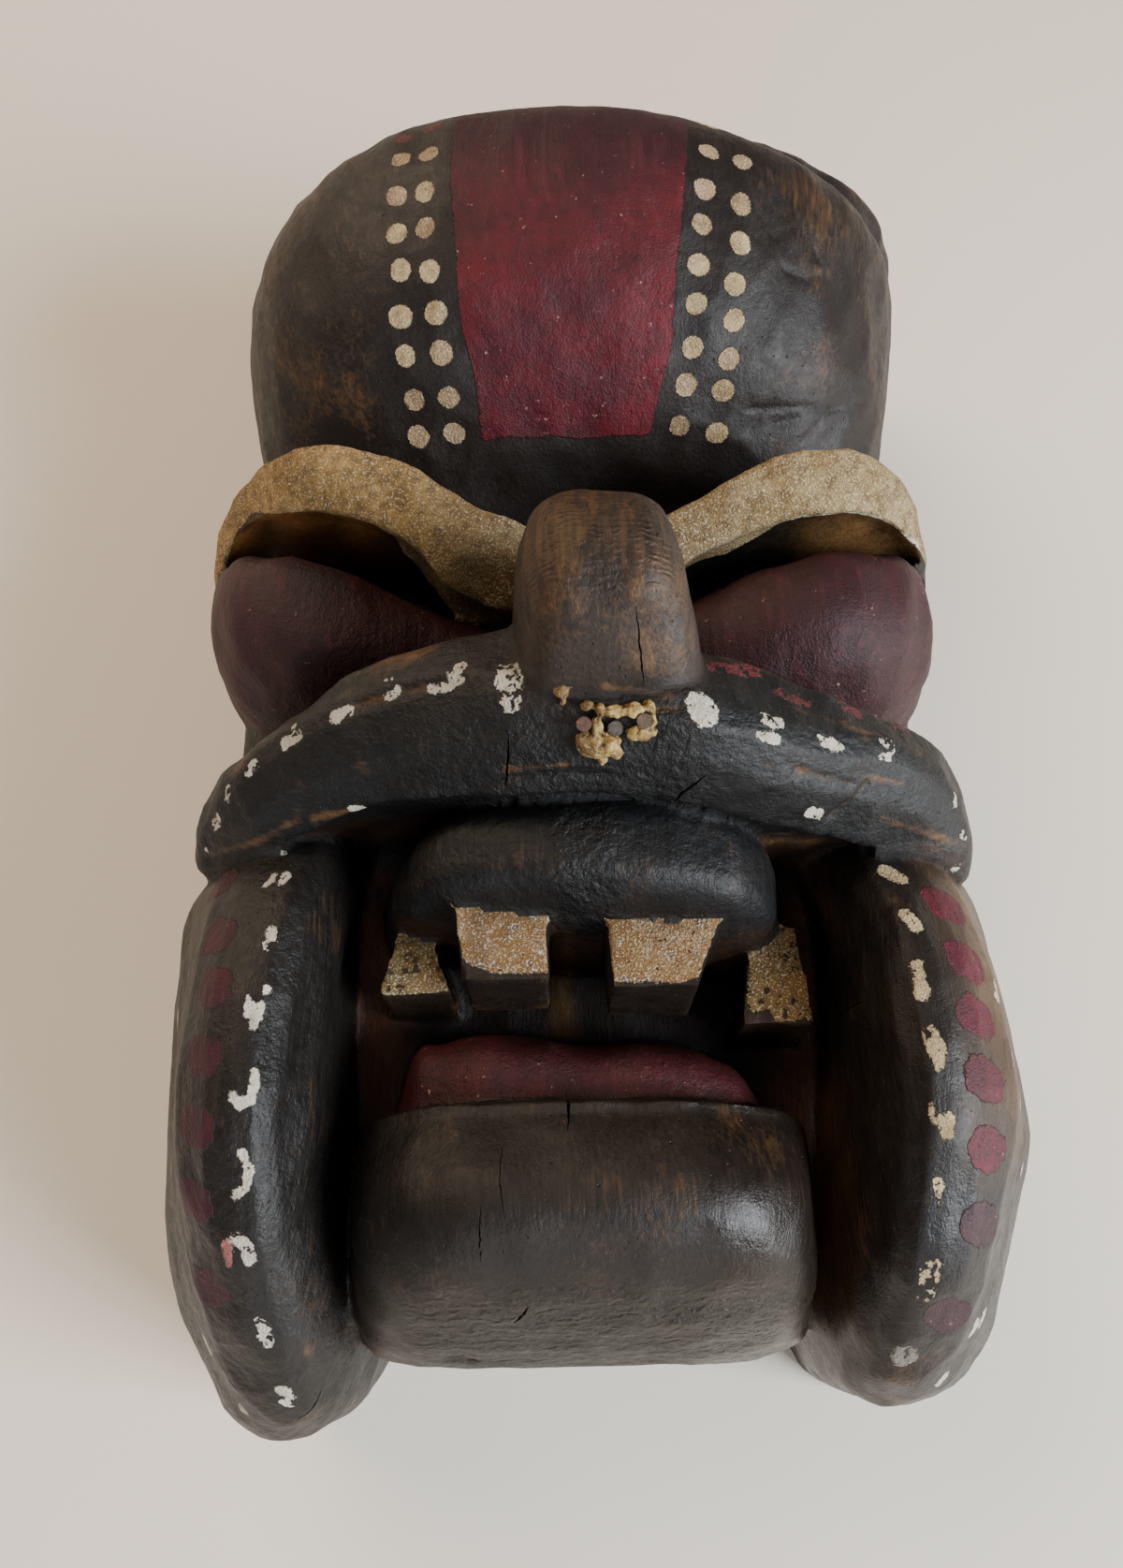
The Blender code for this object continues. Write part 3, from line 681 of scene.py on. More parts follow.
move_vertices(hollow, places + mesh_normals(hollow) * gouged[:, None])
thin_out(hollow, HOLLOW_TRIANGLES)
hollow_tree = tree_of(hollow)
cut_away(mask, hollow)

# The narrow slits that are pierced between the brows and the swellings under them: x and y of their middle
slit_rows = {
    "slit left": [(-72, 23.5), (-60, 21.5), (-48, 17.5), (-36, 11.5)],
    "slit right": [(34, 14.5), (46, 18), (58, 20), (70, 21)],
}
SLIT_TOP, SLIT_BOTTOM, SLIT_HALF_GAP = 98, 20, 2.6
for name, rows in slit_rows.items():
    rings = []
    for x, y in smooth_rows(rows, 24):
        low, high = y - SLIT_HALF_GAP, y + SLIT_HALF_GAP
        rings.append(along_face(x, [
            (low, SLIT_BOTTOM), (high, SLIT_BOTTOM), (high, SLIT_TOP), (low, SLIT_TOP),
        ]))
    cut_away(mask, rolled(name, rings))

# The holes of the three nails in the moustache: right and up from the middle one, and the seat of the head
# above the wood
FACE_LEAN = math.radians(37)
SCRAP_PLACE = (4.7, -43.4, 139)
NAIL_LENGTH, SHANK_RADIUS, HOLE_ROOM = 11, 0.6, 0.3
NAIL_SIDES = 24
CUTTER_TOP = 4
nail_seats = {"nail_left": (-5.9, 1.1, 1.5), "nail_middle": (0, 0, 0.8), "nail_right": (5.3, 1.5, 1.6)}


def on_face(place):
    """The frame at a place on the moustache: X to the right, Y up the face, Z out of the wood."""
    return Matrix.Translation((Vector(place) - RIM_MIDDLE) * MM) @ Matrix.Rotation(FACE_LEAN, 4, "X")


def cylinder(name, radius, low, high, nail_frame):
    """A cylinder about the Z of a nail's frame, from low to high, with its place in its mesh."""
    deselect_all()
    bpy.ops.mesh.primitive_cylinder_add(vertices=NAIL_SIDES, radius=radius * MM, depth=(high - low) * MM)
    obj = bpy.context.object
    obj.name = name
    obj.data.transform(nail_frame @ Matrix.Translation((0, 0, (low + high) / 2 * MM)))
    return obj


nail_frames = {
    name: on_face(SCRAP_PLACE) @ Matrix.Translation(Vector(seat) * MM) for name, seat in nail_seats.items()
}
for name, nail_frame in nail_frames.items():
    hole_end = -NAIL_LENGTH - HOLE_ROOM
    hole = cylinder("hole of " + name, SHANK_RADIUS + HOLE_ROOM, hole_end, CUTTER_TOP, nail_frame)
    cut_away(mask, hole)

# The saw cut that leaves the rim flat.
SAW_REACH = 0.5
deselect_all()
bpy.ops.mesh.primitive_cube_add(size=SAW_REACH, location=(0, 0, -SAW_REACH / 2))
saw = bpy.context.object
bpy.ops.object.transform_apply(location=True, rotation=False, scale=False)
cut_away(mask, saw)

# Drying cracks and stray knife cuts: places along the crack, its width at the surface and its depth
cracks = [
    ([(-15.7, -41.5, 136.5), (-15.2, -44.5, 133.5), (-15.8, -47.2, 130.1), (-16.3, -50, 125.5)], 0.5, 3),
    ([(16, -53.4, 122.5), (17.6, -51.8, 126.2), (18.9, -51.1, 127.8), (22.3, -49.4, 131.4)], 0.6, 3),
    ([(8.3, -28.2, 156.2), (8.8, -30.6, 153.2), (9.1, -32.9, 150.7), (10, -37.4, 144.1)], 0.32, 3),
    ([(-21.4, -124.5, 107.2), (-21.6, -129, 105.8), (-21.6, -133.5, 102.7)], 0.3, 1.5),
    ([(-17.6, -113.5, 104.6), (-18, -120, 106.6), (-17, -127, 106.8)], 0.25, 1.0),
    ([(-5.4, -104.3, 94.5), (-5.0, -107, 99), (-5.2, -111.5, 102.9)], 0.6, 2),
    ([(-16.1, -144.2, 89.2), (-14.4, -142.6, 91.5), (-13.1, -141.0, 94.3)], 0.7, 2),
    ([(-55.8, -53.9, 95.6), (-55.2, -66, 97.1), (-55.2, -77.9, 97.1), (-55.6, -84, 96)], 0.4, 2),
    ([(-55.6, -155.2, 67.8), (-57.4, -158.8, 67.1), (-60.7, -161.3, 66.2)], 0.5, 2),
    ([(-77.2, -142.1, 76), (-74.2, -149.9, 73), (-70.3, -156.9, 68)], 0.4, 1.5),
    ([(47, -87.6, 88), (53.1, -86, 92), (55.6, -86.5, 99.9)], 0.45, 2),
]
CRACK_STEPS = 14
CRACK_WANDER = 0.35      # how far a crack strays from its line
BLADE_TOP = 1.2          # how far the blade stands out of the wood
BLADE_TIP = 0.04         # half the blade's thickness at its tip


def crack_blade(chain, width, depth, seed):
    """A thin tapered blade that follows a wandering line on the wood and reaches into it."""
    wood_tree = tree_of(mask)
    chain = np.array(chain, float)
    lengths = np.concatenate([[0], np.cumsum(np.linalg.norm(np.diff(chain, axis=0), axis=1))])
    rings = []
    for k in range(CRACK_STEPS + 1):
        share = k / CRACK_STEPS
        spot = Vector([np.interp(share * lengths[-1], lengths, chain[:, axis]) for axis in range(3)])
        found, normal, *_ = wood_tree.find_nearest((spot - RIM_MIDDLE) * MM)
        spot = found / MM + RIM_MIDDLE
        along = Vector(chain[-1] - chain[0]).normalized()
        side = along.cross(normal).normalized()
        spot += side * CRACK_WANDER * noise.noise(Vector((k * 0.7, seed, 0)))
        taper = max(0.12, math.sin(math.pi * share)) ** 0.6
        half = width / 2 * taper * (1 + 0.4 * noise.noise(Vector((k * 1.3, seed, 5))))
        top, tip = spot + normal * BLADE_TOP, spot - normal * depth * taper
        rings.append([
            top + side * half * 1.4,
            top - side * half * 1.4,
            tip - side * BLADE_TIP,
            tip + side * BLADE_TIP,
        ])
    return rolled("crack", rings)


for seed, (chain, width, depth) in enumerate(cracks):
    cut_away(mask, crack_blade(chain, width, depth, seed))

# Where every vertex of the finished wood lies: on which form, and how far it is from the next form
REACH = 12
HOLLOW_SKIN = 0.4   # how near the hollow's cutter the gouged wood lies


def gaps_to(tree, spots):
    """Millimetres from each spot to a form's surface, or REACH where it is further away."""
    found = (tree.find_nearest(spot, REACH * MM)[3] for spot in spots)
    return np.array([REACH if gap is None else gap / MM for gap in found])


places = mesh_places(mask)
outward = mesh_normals(mask)
spots = [Vector(p) for p in (places - np.array(RIM_MIDDLE)) * MM]
gaps = np.column_stack([gaps_to(tree, spots) for tree in form_trees])
in_hollow = gaps_to(hollow_tree, spots) < HOLLOW_SKIN
own = gaps.argmin(axis=1)
nearest_gap = gaps.min(axis=1)
seam = np.partition(gaps, 1, axis=1)[:, 1] - nearest_gap


def on(*names):
    """Which vertices belong to the named forms."""
    return np.isin(own, [FORM_NAMES.index(name) for name in names]) & ~in_hollow


def linear(colour):
    """An sRGB hex colour as linear light."""
    parts = np.array([int(colour[k : k + 2], 16) / 255 for k in (1, 3, 5)])
    return np.where(parts <= 0.04045, parts / 12.92, ((parts + 0.055) / 1.055) ** 2.4)


# Stain of each form, as it shows between the worn places. It runs into the next form's over SEAM_BLEND.
SEAM_BLEND = 1.6
stains = {
    "block": "#1d1714",
    "jowl right": "#1a1512",
    "jowl left": "#181513",
    "brow left": "#2a1d10",
    "brow right": "#241a10",
    "eye swell left": "#160f10",
    "eye swell right": "#160f10",
    "nose": "#2a2019",
    "moustache": "#111112",
    "gum": "#131314",
    "tooth inner left": "#1d150f",
    "tooth inner right": "#1d150f",
    "tooth outer left": "#20170d",
    "tooth outer right": "#2a1b0f",
    "lower lip": "#1e0f0f",
    "chin": "#201a16",
}
form_colours = np.array([linear(stains[name]) for name in FORM_NAMES])
nearness = np.exp(-(gaps - nearest_gap[:, None]) / SEAM_BLEND)
stain = (nearness / nearness.sum(axis=1, keepdims=True)) @ form_colours
x, y, z = places.T


def soft_step(value, low, high):
    """0 up to low, 1 from high on, and a smooth rise between them."""
    t = np.clip((value - low) / (high - low), 0, 1)
    return t * t * (3 - 2 * t)


def tinted(colours, amount, colour):
    """The colours turned towards one colour, by an amount from 0 to 1 at each vertex."""
    amount = np.asarray(amount, float)[:, None]
    return colours * (1 - amount) + linear(colour) * amount


# Dirt and old finish in the corners, wood that was stained thinly or rubbed paler by hands, and painted
# shade and painted light where the forms lie in shade or face the window
mouth = on("block") * soft_step(-y, 44, 50) * soft_step(y, -112, -104) * (np.abs(x) < 56) * (z < 97)
stain = tinted(stain, mouth, "#180906")
# The sides of the mouth are orange-brown wood, made paler as painted light where little light reaches them.
stain = tinted(stain, mouth * soft_step(np.abs(x + 1), 36, 46) * 0.8, "#58311a")
underside = on("moustache", "gum") * soft_step(-outward[:, 1], 0.5, 0.9) * soft_step(104 - z, 0, 12)
stain = tinted(stain, underside * 0.5, "#3a2412")
# The undersides of the brows are darkened nearly black as painted shade. Their outer parts are golden bare
# wood, made paler as painted light where they lie in shade.
shaded_under_brow = on("brow left", "brow right") * soft_step(-outward[:, 2], -0.25, 0.1)
stain = tinted(stain, shaded_under_brow, "#0d0a08")
stain = tinted(stain, shaded_under_brow * soft_step(-x, 38, 58) * soft_step(90 + x, 0, 5), "#80552a")
stain = tinted(stain, shaded_under_brow * soft_step(x, 44, 66) * soft_step(88 - x, 0, 5), "#5a4022")
# The right jowl's outer facet is browner and paler: rubbed tan wood, and painted light on the side that
# faces the window.
stain = tinted(stain, on("jowl right") * soft_step(x, 66, 72) * soft_step(z, 60, 84) * 0.75, "#3b2d22")
rubbed_and_sunlit_side = on("jowl right") * soft_step(x, 72, 80) * soft_step(z, 66, 84)
stain = tinted(stain, rubbed_and_sunlit_side * soft_step(y, -118, -92) * 0.75, "#5b4630")
# The inner wall of the right jowl is paler brown as painted light, for the light that bounces onto it.
stain = tinted(stain, on("jowl right") * soft_step(54 - x, 0, 4) * 0.7, "#463020")
# The left end of the chin is darkened nearly black as painted shade.
stain = tinted(stain, on("chin") * soft_step(-x, 20, 40) * 0.85, "#0b0a0a")
# The chin is darker towards its lower edge.
stain = tinted(stain, on("chin") * soft_step(-y, 132, 142) * 0.6, "#1f1914")
stain = tinted(stain, on("jowl right") * soft_step(-y, 114, 126) * soft_step(x, 60, 66), "#191718")
# Between the inner teeth the stub of bare wood is golden brown, made paler as painted light where it lies in
# shade.
bare_and_lit_between_teeth = soft_step(-y, 70, 73) * soft_step(y, -90, -84) * soft_step(4 - np.abs(x + 6), 0, 3)
stain = tinted(stain, on("gum", "block") * bare_and_lit_between_teeth * 0.8, "#5a3f1c")
# The outer facet of the left jowl is darkened as painted shade.
stain = tinted(stain, on("jowl left") * soft_step(-x, 72, 80) * 0.6, "#120d0e")
stain = tinted(stain, in_hollow, "#2c1c12")
stain = tinted(stain, soft_step(4 - z, 0, 3) * 0.6, "#2e1e13")

# Paint
# Thin red and chalky white earth paint, brushed on the large areas and put on with a fingertip in the dots.
# depth is how far a vertex lies inside the painted edge, in millimetres, from UNPAINTED to DEEPEST.
DRY_RED, SHADED_RED, PLUM = "#540a17", "#35141c", "#36151b"
UNPAINTED, DEEPEST = -9.0, 9.0
PAINT_EDGE = -4.0   # the vertices within 4 mm of an edge take its colour too, so that none shows through
depth = np.full(len(places), UNPAINTED)
paint = np.tile(linear(PLUM), (len(places), 1))
flake = np.zeros(len(places))
chalk = np.zeros(len(places))


def lay_paint(inside, colour, how_flaked, how_chalky):
    """Lays one paint, where it lies further inside its edge than any paint before it."""
    over = inside > depth
    depth[over] = inside[over]
    paint[over] = linear(colour)
    flake[over] = how_flaked
    chalk[over] = how_chalky


# The red band down the forehead. Its left and right edges: y, x
band_left = np.array([
    (56, -23.5), (60.6, -23.9), (67.6, -24.7), (75.8, -27.8), (84.3, -28.1), (106, -29.5),
    (119.5, -29), (130.5, -29.5), (166, -31),
])
band_right = np.array([
    (56, 17.5), (62, 19.9), (66.5, 21.5), (71.8, 23.6), (81.8, 24), (93.2, 25.6),
    (112.6, 27.7), (132.5, 29.1), (166, 30),
])
band_inside = np.minimum(x - np.interp(y, *band_left.T), np.interp(y, *band_right.T) - x)
band_inside = np.minimum(band_inside, (y - 58.8) * 1.6)
band_inside = np.minimum(band_inside, z - 84)
band_inside = np.where(on("block"), band_inside, UNPAINTED)
lay_paint(np.clip(band_inside, UNPAINTED, DEEPEST), DRY_RED, 0.08, 0.0)
in_band = on("block") & (band_inside > PAINT_EDGE)
# The band is darker towards the crown as painted shade, and a brighter red towards the lower right as
# painted light.
paint = tinted(paint, in_band * soft_step(y, 84, 124), SHADED_RED)
paint = tinted(paint, in_band * 0.6 * soft_step(x - 0.5 * (y - 70), 0, 24), "#700e1f")

# The plum red of the swellings under the eyes and of the lower lip
cheek_inside = np.where(on("eye swell left", "eye swell right"), seam - 0.5, UNPAINTED)
lay_paint(np.clip(cheek_inside, UNPAINTED, DEEPEST), PLUM, 0.12, 0.0)
sooty = np.exp(-((reach_of(places, [(-62, 12, 108), (-57, 8, 108)]) / 5) ** 2)) * on("eye swell left")
paint = tinted(paint, 0.8 * sooty, "#1b1515")
lip_inside = np.where(on("lower lip"), np.clip(seam - 0.2, UNPAINTED, DEEPEST) * (z > 74), UNPAINTED)
lay_paint(lip_inside, "#471a1e", 0.15, 0.0)

# Lowest painted height on each brow: x, z
brow_paint_edges = {
    "brow left": [
        (-94, 68), (-91, 77), (-88, 87), (-84, 95), (-77, 103), (-68, 108), (-60, 108.5), (-52, 111),
        (-47, 111), (-43.5, 107), (-42, 99), (-39, 98), (-37.3, 93), (-32.8, 89), (-28, 84), (-6, 78),
    ],
    "brow right": [
        (8, 88), (24, 95), (28.5, 97.5), (36.6, 97.8), (44, 103), (50, 109.5), (59, 110.5),
        (69.6, 107), (77, 101), (83.4, 94.5), (88, 86), (91, 78),
    ],
}
brow_colours = {"brow left": "#a98852", "brow right": "#a38e65"}
for name, edge in brow_paint_edges.items():
    above = z - np.interp(x, *np.array(edge, float).T)
    inside = np.where(on(name), np.minimum(above, seam * 1.2 - 0.4), UNPAINTED)
    lay_paint(np.clip(inside, UNPAINTED, DEEPEST), brow_colours[name], 0.05, 1.0)
    greyer = (on(name) & (inside > PAINT_EDGE)) * soft_step(44 - np.abs(x - 2), 0, 22)
    paint = tinted(paint, 0.8 * greyer, "#857457")
    if name == "brow right":
        thick_edge = np.where(on(name) & (x > 50) & (x < 84), 0.8 - np.abs(above - 0.3), UNPAINTED)
        lay_paint(thick_edge, "#dcd7c8", 0.1, 0.8)

# Lowest painted y on the front of each tooth: x, y
tooth_paint_edges = {
    "tooth inner left": [(-29, -73), (-25, -79), (-20, -81.5), (-8, -82)],
    "tooth inner right": [(3, -83.5), (18, -84), (24, -82), (26.5, -78), (29, -70)],
    "tooth outer left": [(-47, -81.5), (-30, -81.5)],
    "tooth outer right": [(31, -86), (38, -86), (38.5, -88), (47, -88)],
}
tooth_colours = {
    "tooth inner left": "#94795a",
    "tooth inner right": "#a38662",
    "tooth outer left": "#6a5e40",
    "tooth outer right": "#80602e",
}
SPECKLED, LESS_SPECKLED = 2.0, 1.2   # how chalky: above 1, flecks of orange and grey show through
for name, edge in tooth_paint_edges.items():
    above = y - np.interp(x, *np.array(edge, float).T)
    inside = np.where(on(name) & (outward[:, 2] > 0.35), np.minimum(above, 3), UNPAINTED)
    if "outer" in name:
        lay_paint(inside, tooth_colours[name], 0.42, LESS_SPECKLED)
    else:
        lay_paint(inside, tooth_colours[name], 0.24, SPECKLED)
soot = np.exp(-((reach_of(places, [(-23, -70, 108), (-22, -79, 108)]) / 2.2) ** 2)) * on("tooth inner left")
paint = tinted(paint, 0.7 * soot, "#3a342e")

mask_tree = tree_of(mask)


def snapped(chain):
    """The places of a chain, moved onto the nearest wood."""
    found = []
    for place in chain:
        spot = mask_tree.find_nearest((Vector(place) - RIM_MIDDLE) * MM)[0]
        found.append(spot / MM + RIM_MIDDLE)
    return found


# Finger dots up the forehead, from the crown down: x, y, z of their middles
forehead_dots = {
    "outer left": [
        (-42.1, 116.6, 133), (-42.7, 105.2, 132), (-42.7, 96.1, 129), (-41.9, 87.3, 125.6),
        (-42.2, 78.5, 120), (-41.6, 72, 114), (-40.2, 65.4, 106), (-39.7, 60.1, 98.3),
    ],
    "inner left": [
        (-35, 116.2, 134.6), (-35.7, 105.1, 133.4), (-35.7, 95.9, 130.6), (-34.7, 86.3, 126.7),
        (-33.7, 77.9, 121.5), (-32.7, 71.6, 115.4), (-31.5, 65, 107), (-30.4, 59.9, 99.5),
    ],
    "inner right": [
        (34.9, 130.1, 130.5), (33, 114.9, 134), (31.8, 104, 133.6), (31, 95.2, 131), (30.2, 86.3, 127.4),
        (29.4, 78.8, 122.7), (28.7, 71.6, 116), (27.4, 65.9, 109), (26.2, 60.2, 100.7),
    ],
    "outer right": [
        (44.2, 130.7, 126.8), (41.7, 113.9, 131.8), (40.7, 102.2, 131), (40.4, 92.4, 127.8),
        (39.1, 83.6, 124), (38.7, 76.8, 119), (38.2, 70.8, 113), (36.9, 65.8, 107), (35.7, 59.8, 98.5),
    ],
}
DOT_RADIUS = 2.7
RED_DOT_RADIUS = 2.6
dot_shapes = np.random.default_rng(7)
for column in forehead_dots.values():
    for place in column:
        wander = dot_shapes.uniform(-0.35, 0.35, 3)
        end = np.array(place) + wander * (1, 2, 0)
        radius = DOT_RADIUS * dot_shapes.uniform(0.92, 1.06)
        shade = "#a88e6e" if dot_shapes.random() < 0.6 else "#c0a97f"
        inside = radius - reach_of(places, snapped([place, end]))
        lay_paint(inside, shade, dot_shapes.uniform(0.0, 0.1), 0.9)
for place in [(-42.3, 127.7, 130.5), (-34.7, 129.8, 131.7)]:
    lay_paint(RED_DOT_RADIUS - reach_of(places, snapped([place])), "#5a1c22", 0.5, 0.2)

# White dabs along the ridge and the edge of the moustache: chain of places, radius, how flaked
moustache_dabs = [
    ([(-15.4, -31.3, 139.7), (-14.7, -35, 139.8)], 2.5, 0.55),
    ([(-14, -36, 139.6), (-15, -38.2, 138.6)], 1.7, 0.6),
    ([(-24.6, -28.4, 136.2), (-26, -29.6, 135.6)], 1.5, 0.3),
    ([(-30.5, -31.6, 133.5), (-27.5, -32, 134.9), (-24.8, -31.4, 136.2)], 1.1, 0.4),
    ([(-39.8, -30.9, 129.4), (-37.4, -30.3, 130.4)], 1.0, 0.4),
    ([(-40, -26.6, 129.2), (-37.2, -26.4, 130.3)], 0.55, 0.3),
    ([(-50.8, -32.4, 123.6), (-48, -31.5, 125)], 1.4, 0.35),
    ([(-62, -34.4, 117.1), (-59.2, -33.7, 118.6)], 1.5, 0.4),
    ([(-60.2, -31.4, 118.2)], 0.9, 0.5),
    ([(-71.4, -37.8, 109.4), (-69.4, -36.6, 111)], 1.2, 0.5),
    ([(-76.2, -39.4, 104.8), (-76.4, -41.6, 103.6)], 0.8, 0.5),
    ([(-80.9, -45.4, 97.8), (-79.6, -44, 99.2)], 1.1, 0.6),
    ([(-84.1, -49.1, 92.8)], 0.8, 0.5),
    ([(-48.2, -47.4, 111.6), (-46.6, -47.2, 112.4)], 1.1, 0.3),
    ([(20.3, -39.8, 141.2), (21.6, -41.6, 140.2)], 2.7, 0.3),
    ([(33.6, -40.3, 135.4), (36, -40.4, 134.2)], 1.3, 0.5),
    ([(31.8, -43.6, 135.6), (35.4, -43.9, 133.8)], 1.0, 0.3),
    ([(45.6, -42, 128.8), (49.6, -42.3, 126.6)], 1.2, 0.35),
    ([(60.2, -39, 121.2), (61.6, -39.4, 120.4)], 1.2, 0.5),
    ([(58.4, -41.8, 121.6), (61.2, -41.6, 120.2)], 0.8, 0.4),
    ([(44.2, -52.6, 118.2), (45.8, -52.8, 117.4)], 1.4, 0.3),
    ([(78.7, -44.2, 105), (78.9, -46.4, 103.6)], 0.9, 0.5),
    ([(81.6, -50.3, 98.6)], 1.3, 0.5),
    ([(80.6, -56.2, 93.8)], 1.1, 0.5),
]
for chain, radius, how_flaked in moustache_dabs:
    lay_paint(radius - reach_of(places, snapped(chain)), "#d2ccbe", how_flaked + 0.08, 0.82)

# What is left of red dabs on the upper facet of the moustache: chain of places, radius
red_dabs = [
    ([(24, -28.9, 135.7), (30, -28.8, 133.4), (33, -27.6, 132.1)], 1.8),
    ([(38, -32.6, 131.6), (43, -33.2, 129.2)], 1.7),
    ([(51.6, -32, 124.8), (55.4, -32.4, 122.6)], 1.4),
    ([(64, -33, 116.6), (67, -33.6, 114.8)], 1.2),
]
for chain, radius in red_dabs:
    lay_paint(radius - reach_of(places, snapped(chain)), "#5f1a22", 0.62, 0.1)

# White dots along the ridge of each jowl, from the moustache down, with what has flaked off left out:
# chain of places, radius, how flaked
left_ridge_dots = [
    ([(-61.4, -48.6, 99.6), (-62.4, -49.6, 99.3)], 1.5, 0.1),
    ([(-63, -50.4, 99.3), (-65, -52, 98.6)], 0.7, 0.1),
    ([(-65.4, -58.2, 103.6), (-66.6, -61.6, 104)], 0.9, 0.3),
    ([(-62.8, -57.8, 103.4), (-63.4, -61, 104)], 1.2, 0.3),
    ([(-63.4, -71.6, 108.6), (-64, -75, 109.2)], 1.4, 0.4),
    ([(-62.9, -84.6, 110.6)], 1.1, 0.2),
    ([(-66.2, -86, 110.8), (-65.9, -90.2, 111), (-64.8, -92, 111), (-63.6, -87.6, 111)], 0.95, 0.3),
    ([(-65.6, -95, 111)], 0.5, 0.3),
    ([(-64, -100.6, 110.6), (-63.7, -103, 110.4), (-64.6, -105.4, 110), (-66.4, -106.2, 109.8),
      (-67.7, -104.6, 110)], 1.15, 0.1),
    ([(-65.8, -114.6, 107.4), (-64.6, -117.6, 106.2), (-65.6, -120.6, 105),
      (-67.4, -122, 104.4)], 1.1, 0.25),
    ([(-66.8, -129.4, 100), (-65, -132.6, 97.8)], 1.7, 0.4),
    ([(-64.2, -143.4, 88.4), (-63.6, -147, 85)], 1.5, 0.45),
    ([(-62, -155.4, 74.6), (-61.4, -158, 72)], 1.9, 0.4),
]
right_ridge_dots = [
    ([(55.2, -53.2, 101.2), (58, -53.8, 102.2)], 1.5, 0.2),
    ([(62, -60.2, 104.2), (64.2, -61.4, 104.6)], 2.4, 0.25),
    ([(63.2, -71.2, 108.4), (64.6, -74, 109)], 1.7, 0.3),
    ([(63.4, -82.2, 110.6), (63.6, -87.6, 110.8)], 1.6, 0.3),
    ([(64.2, -95.6, 110.8), (65, -100.4, 110.2)], 1.9, 0.4),
    ([(62.8, -108.6, 108.6), (63.2, -111, 108)], 0.75, 0.2),
    ([(65.6, -110.6, 107.8), (65.8, -113.4, 107)], 1.6, 0.3),
    ([(64, -121.6, 103), (64.4, -125, 101.6)], 0.9, 0.45),
    ([(62.9, -135.8, 94.6), (62.3, -141.4, 90.2)], 1.8, 0.6),
]
for chain, radius, how_flaked in left_ridge_dots:
    lay_paint(0.85 * radius - reach_of(places, snapped(chain)), "#d6d1c4", how_flaked + 0.12, 0.82)
for chain, radius, how_flaked in right_ridge_dots:
    lay_paint(0.9 * radius - reach_of(places, snapped(chain)), "#c9b48c", how_flaked + 0.08, 0.87)
# The lowest dot on the right ridge is worn, and painted grey as the glossy sheen on it.
lay_paint(2.9 - reach_of(places, snapped([(60.2, -152, 77.6)])), "#77736c", 0.55, 0.4)
lay_paint(1.0 - reach_of(places, snapped([(-69.4, -130, 98.4), (-69.2, -133, 96)])), "#a1615f", 0.3, 0.4)

# Red dots on the outer facet of each jowl, drawn out across it: their middles and half their length
left_red_dots = [
    (-78, -58, 93), (-75.6, -71.7, 103.7), (-74.6, -83, 107.4), (-75.4, -96.5, 107.6),
    (-76.2, -109.4, 104.8), (-76.9, -122.2, 98.5), (-75.6, -137, 88.6),
]
right_red_dots = [
    (73.5, -67.5, 104.2), (75.2, -80.3, 107.4), (75.4, -91.8, 108), (75.4, -103.5, 106.8),
    (75.2, -116, 102.2), (73.8, -129, 95.4), (68.4, -145.4, 85),
]
LEFT_DOT_REACH, RIGHT_DOT_REACH = (-1.3, 0.5, -1.2), (1.5, -0.5, -1.4)
FIRST_FADED = 5   # the lowest two on the right are rubbed and pale
for place in left_red_dots:
    ends = [np.array(place) + LEFT_DOT_REACH, np.array(place) - LEFT_DOT_REACH]
    lay_paint(4.0 - reach_of(places, snapped(ends)), "#3f1323", 0.34, 0.0)
for number, place in enumerate(right_red_dots):
    ends = [np.array(place) + RIGHT_DOT_REACH, np.array(place) - RIGHT_DOT_REACH]
    shade = "#3c2029" if number >= FIRST_FADED else "#5c1326"
    lay_paint(4.1 - reach_of(places, snapped(ends)), shade, 0.34, 0.0)

# White dabs on the outer edge of each jowl
edge_places = [
    (-93.3, -80.4, 69.1), (-93.3, -91.5, 66.7), (-89.7, -113.3, 72.4), (-85.3, -132.6, 72.5),
    (-79.6, -148.1, 70.6), (-73.3, -160.4, 63.6), (91.6, -69.2, 76.8), (82.7, -85, 101.1), (83.9, -98.1, 99),
    (87.8, -105.5, 87.5), (93.1, -116.8, 67.7), (84, -128.3, 79.2), (79, -145.3, 70.9), (70.6, -156.9, 66.1),
    (76.4, -147.3, 73.2),
]
EDGE_DAB_REACH = (0, 1.2, 0)
for place in edge_places:
    ends = [np.array(place) + EDGE_DAB_REACH, np.array(place) - EDGE_DAB_REACH]
    lay_paint(1.5 - reach_of(places, snapped(ends)), "#cfc7b8", 0.35, 0.8)

# Wear, dirt, painted shade and gloss
# Edges that stand proud are rubbed to brown wood, and hollows between the forms are darker, by dirt and as
# painted shade.


def spread(values, obj, times):
    """Values at a piece's vertices, averaged with their neighbours' a number of times."""
    pairs = np.empty(len(obj.data.edges) * 2, np.int32)
    obj.data.edges.foreach_get("vertices", pairs)
    one, other = pairs.reshape(-1, 2).T
    counts = np.bincount(pairs, minlength=len(values))[:, None]
    for _ in range(times):
        total = np.zeros_like(values)
        np.add.at(total, one, values[other])
        np.add.at(total, other, values[one])
        values = 0.5 * values + 0.5 * total / np.maximum(counts, 1)
    return values


CURVE_SPREAD = 14
# Fully dirty means fully darkened, by dirt and as painted shade.
FULL_BULGE = 0.9   # millimetres above or below its surroundings at which wood is fully worn or fully dirty
bulge = np.sum((places - spread(places, mask, CURVE_SPREAD)) * outward, axis=1)[:, None]
bulge = spread(bulge, mask, 2)[:, 0]
proud = np.clip(bulge / FULL_BULGE, 0, 1) * (1 - 0.8 * on("chin") - 0.6 * on("gum"))
sunken_dirt_and_shade = np.clip(-bulge / FULL_BULGE, 0, 1)

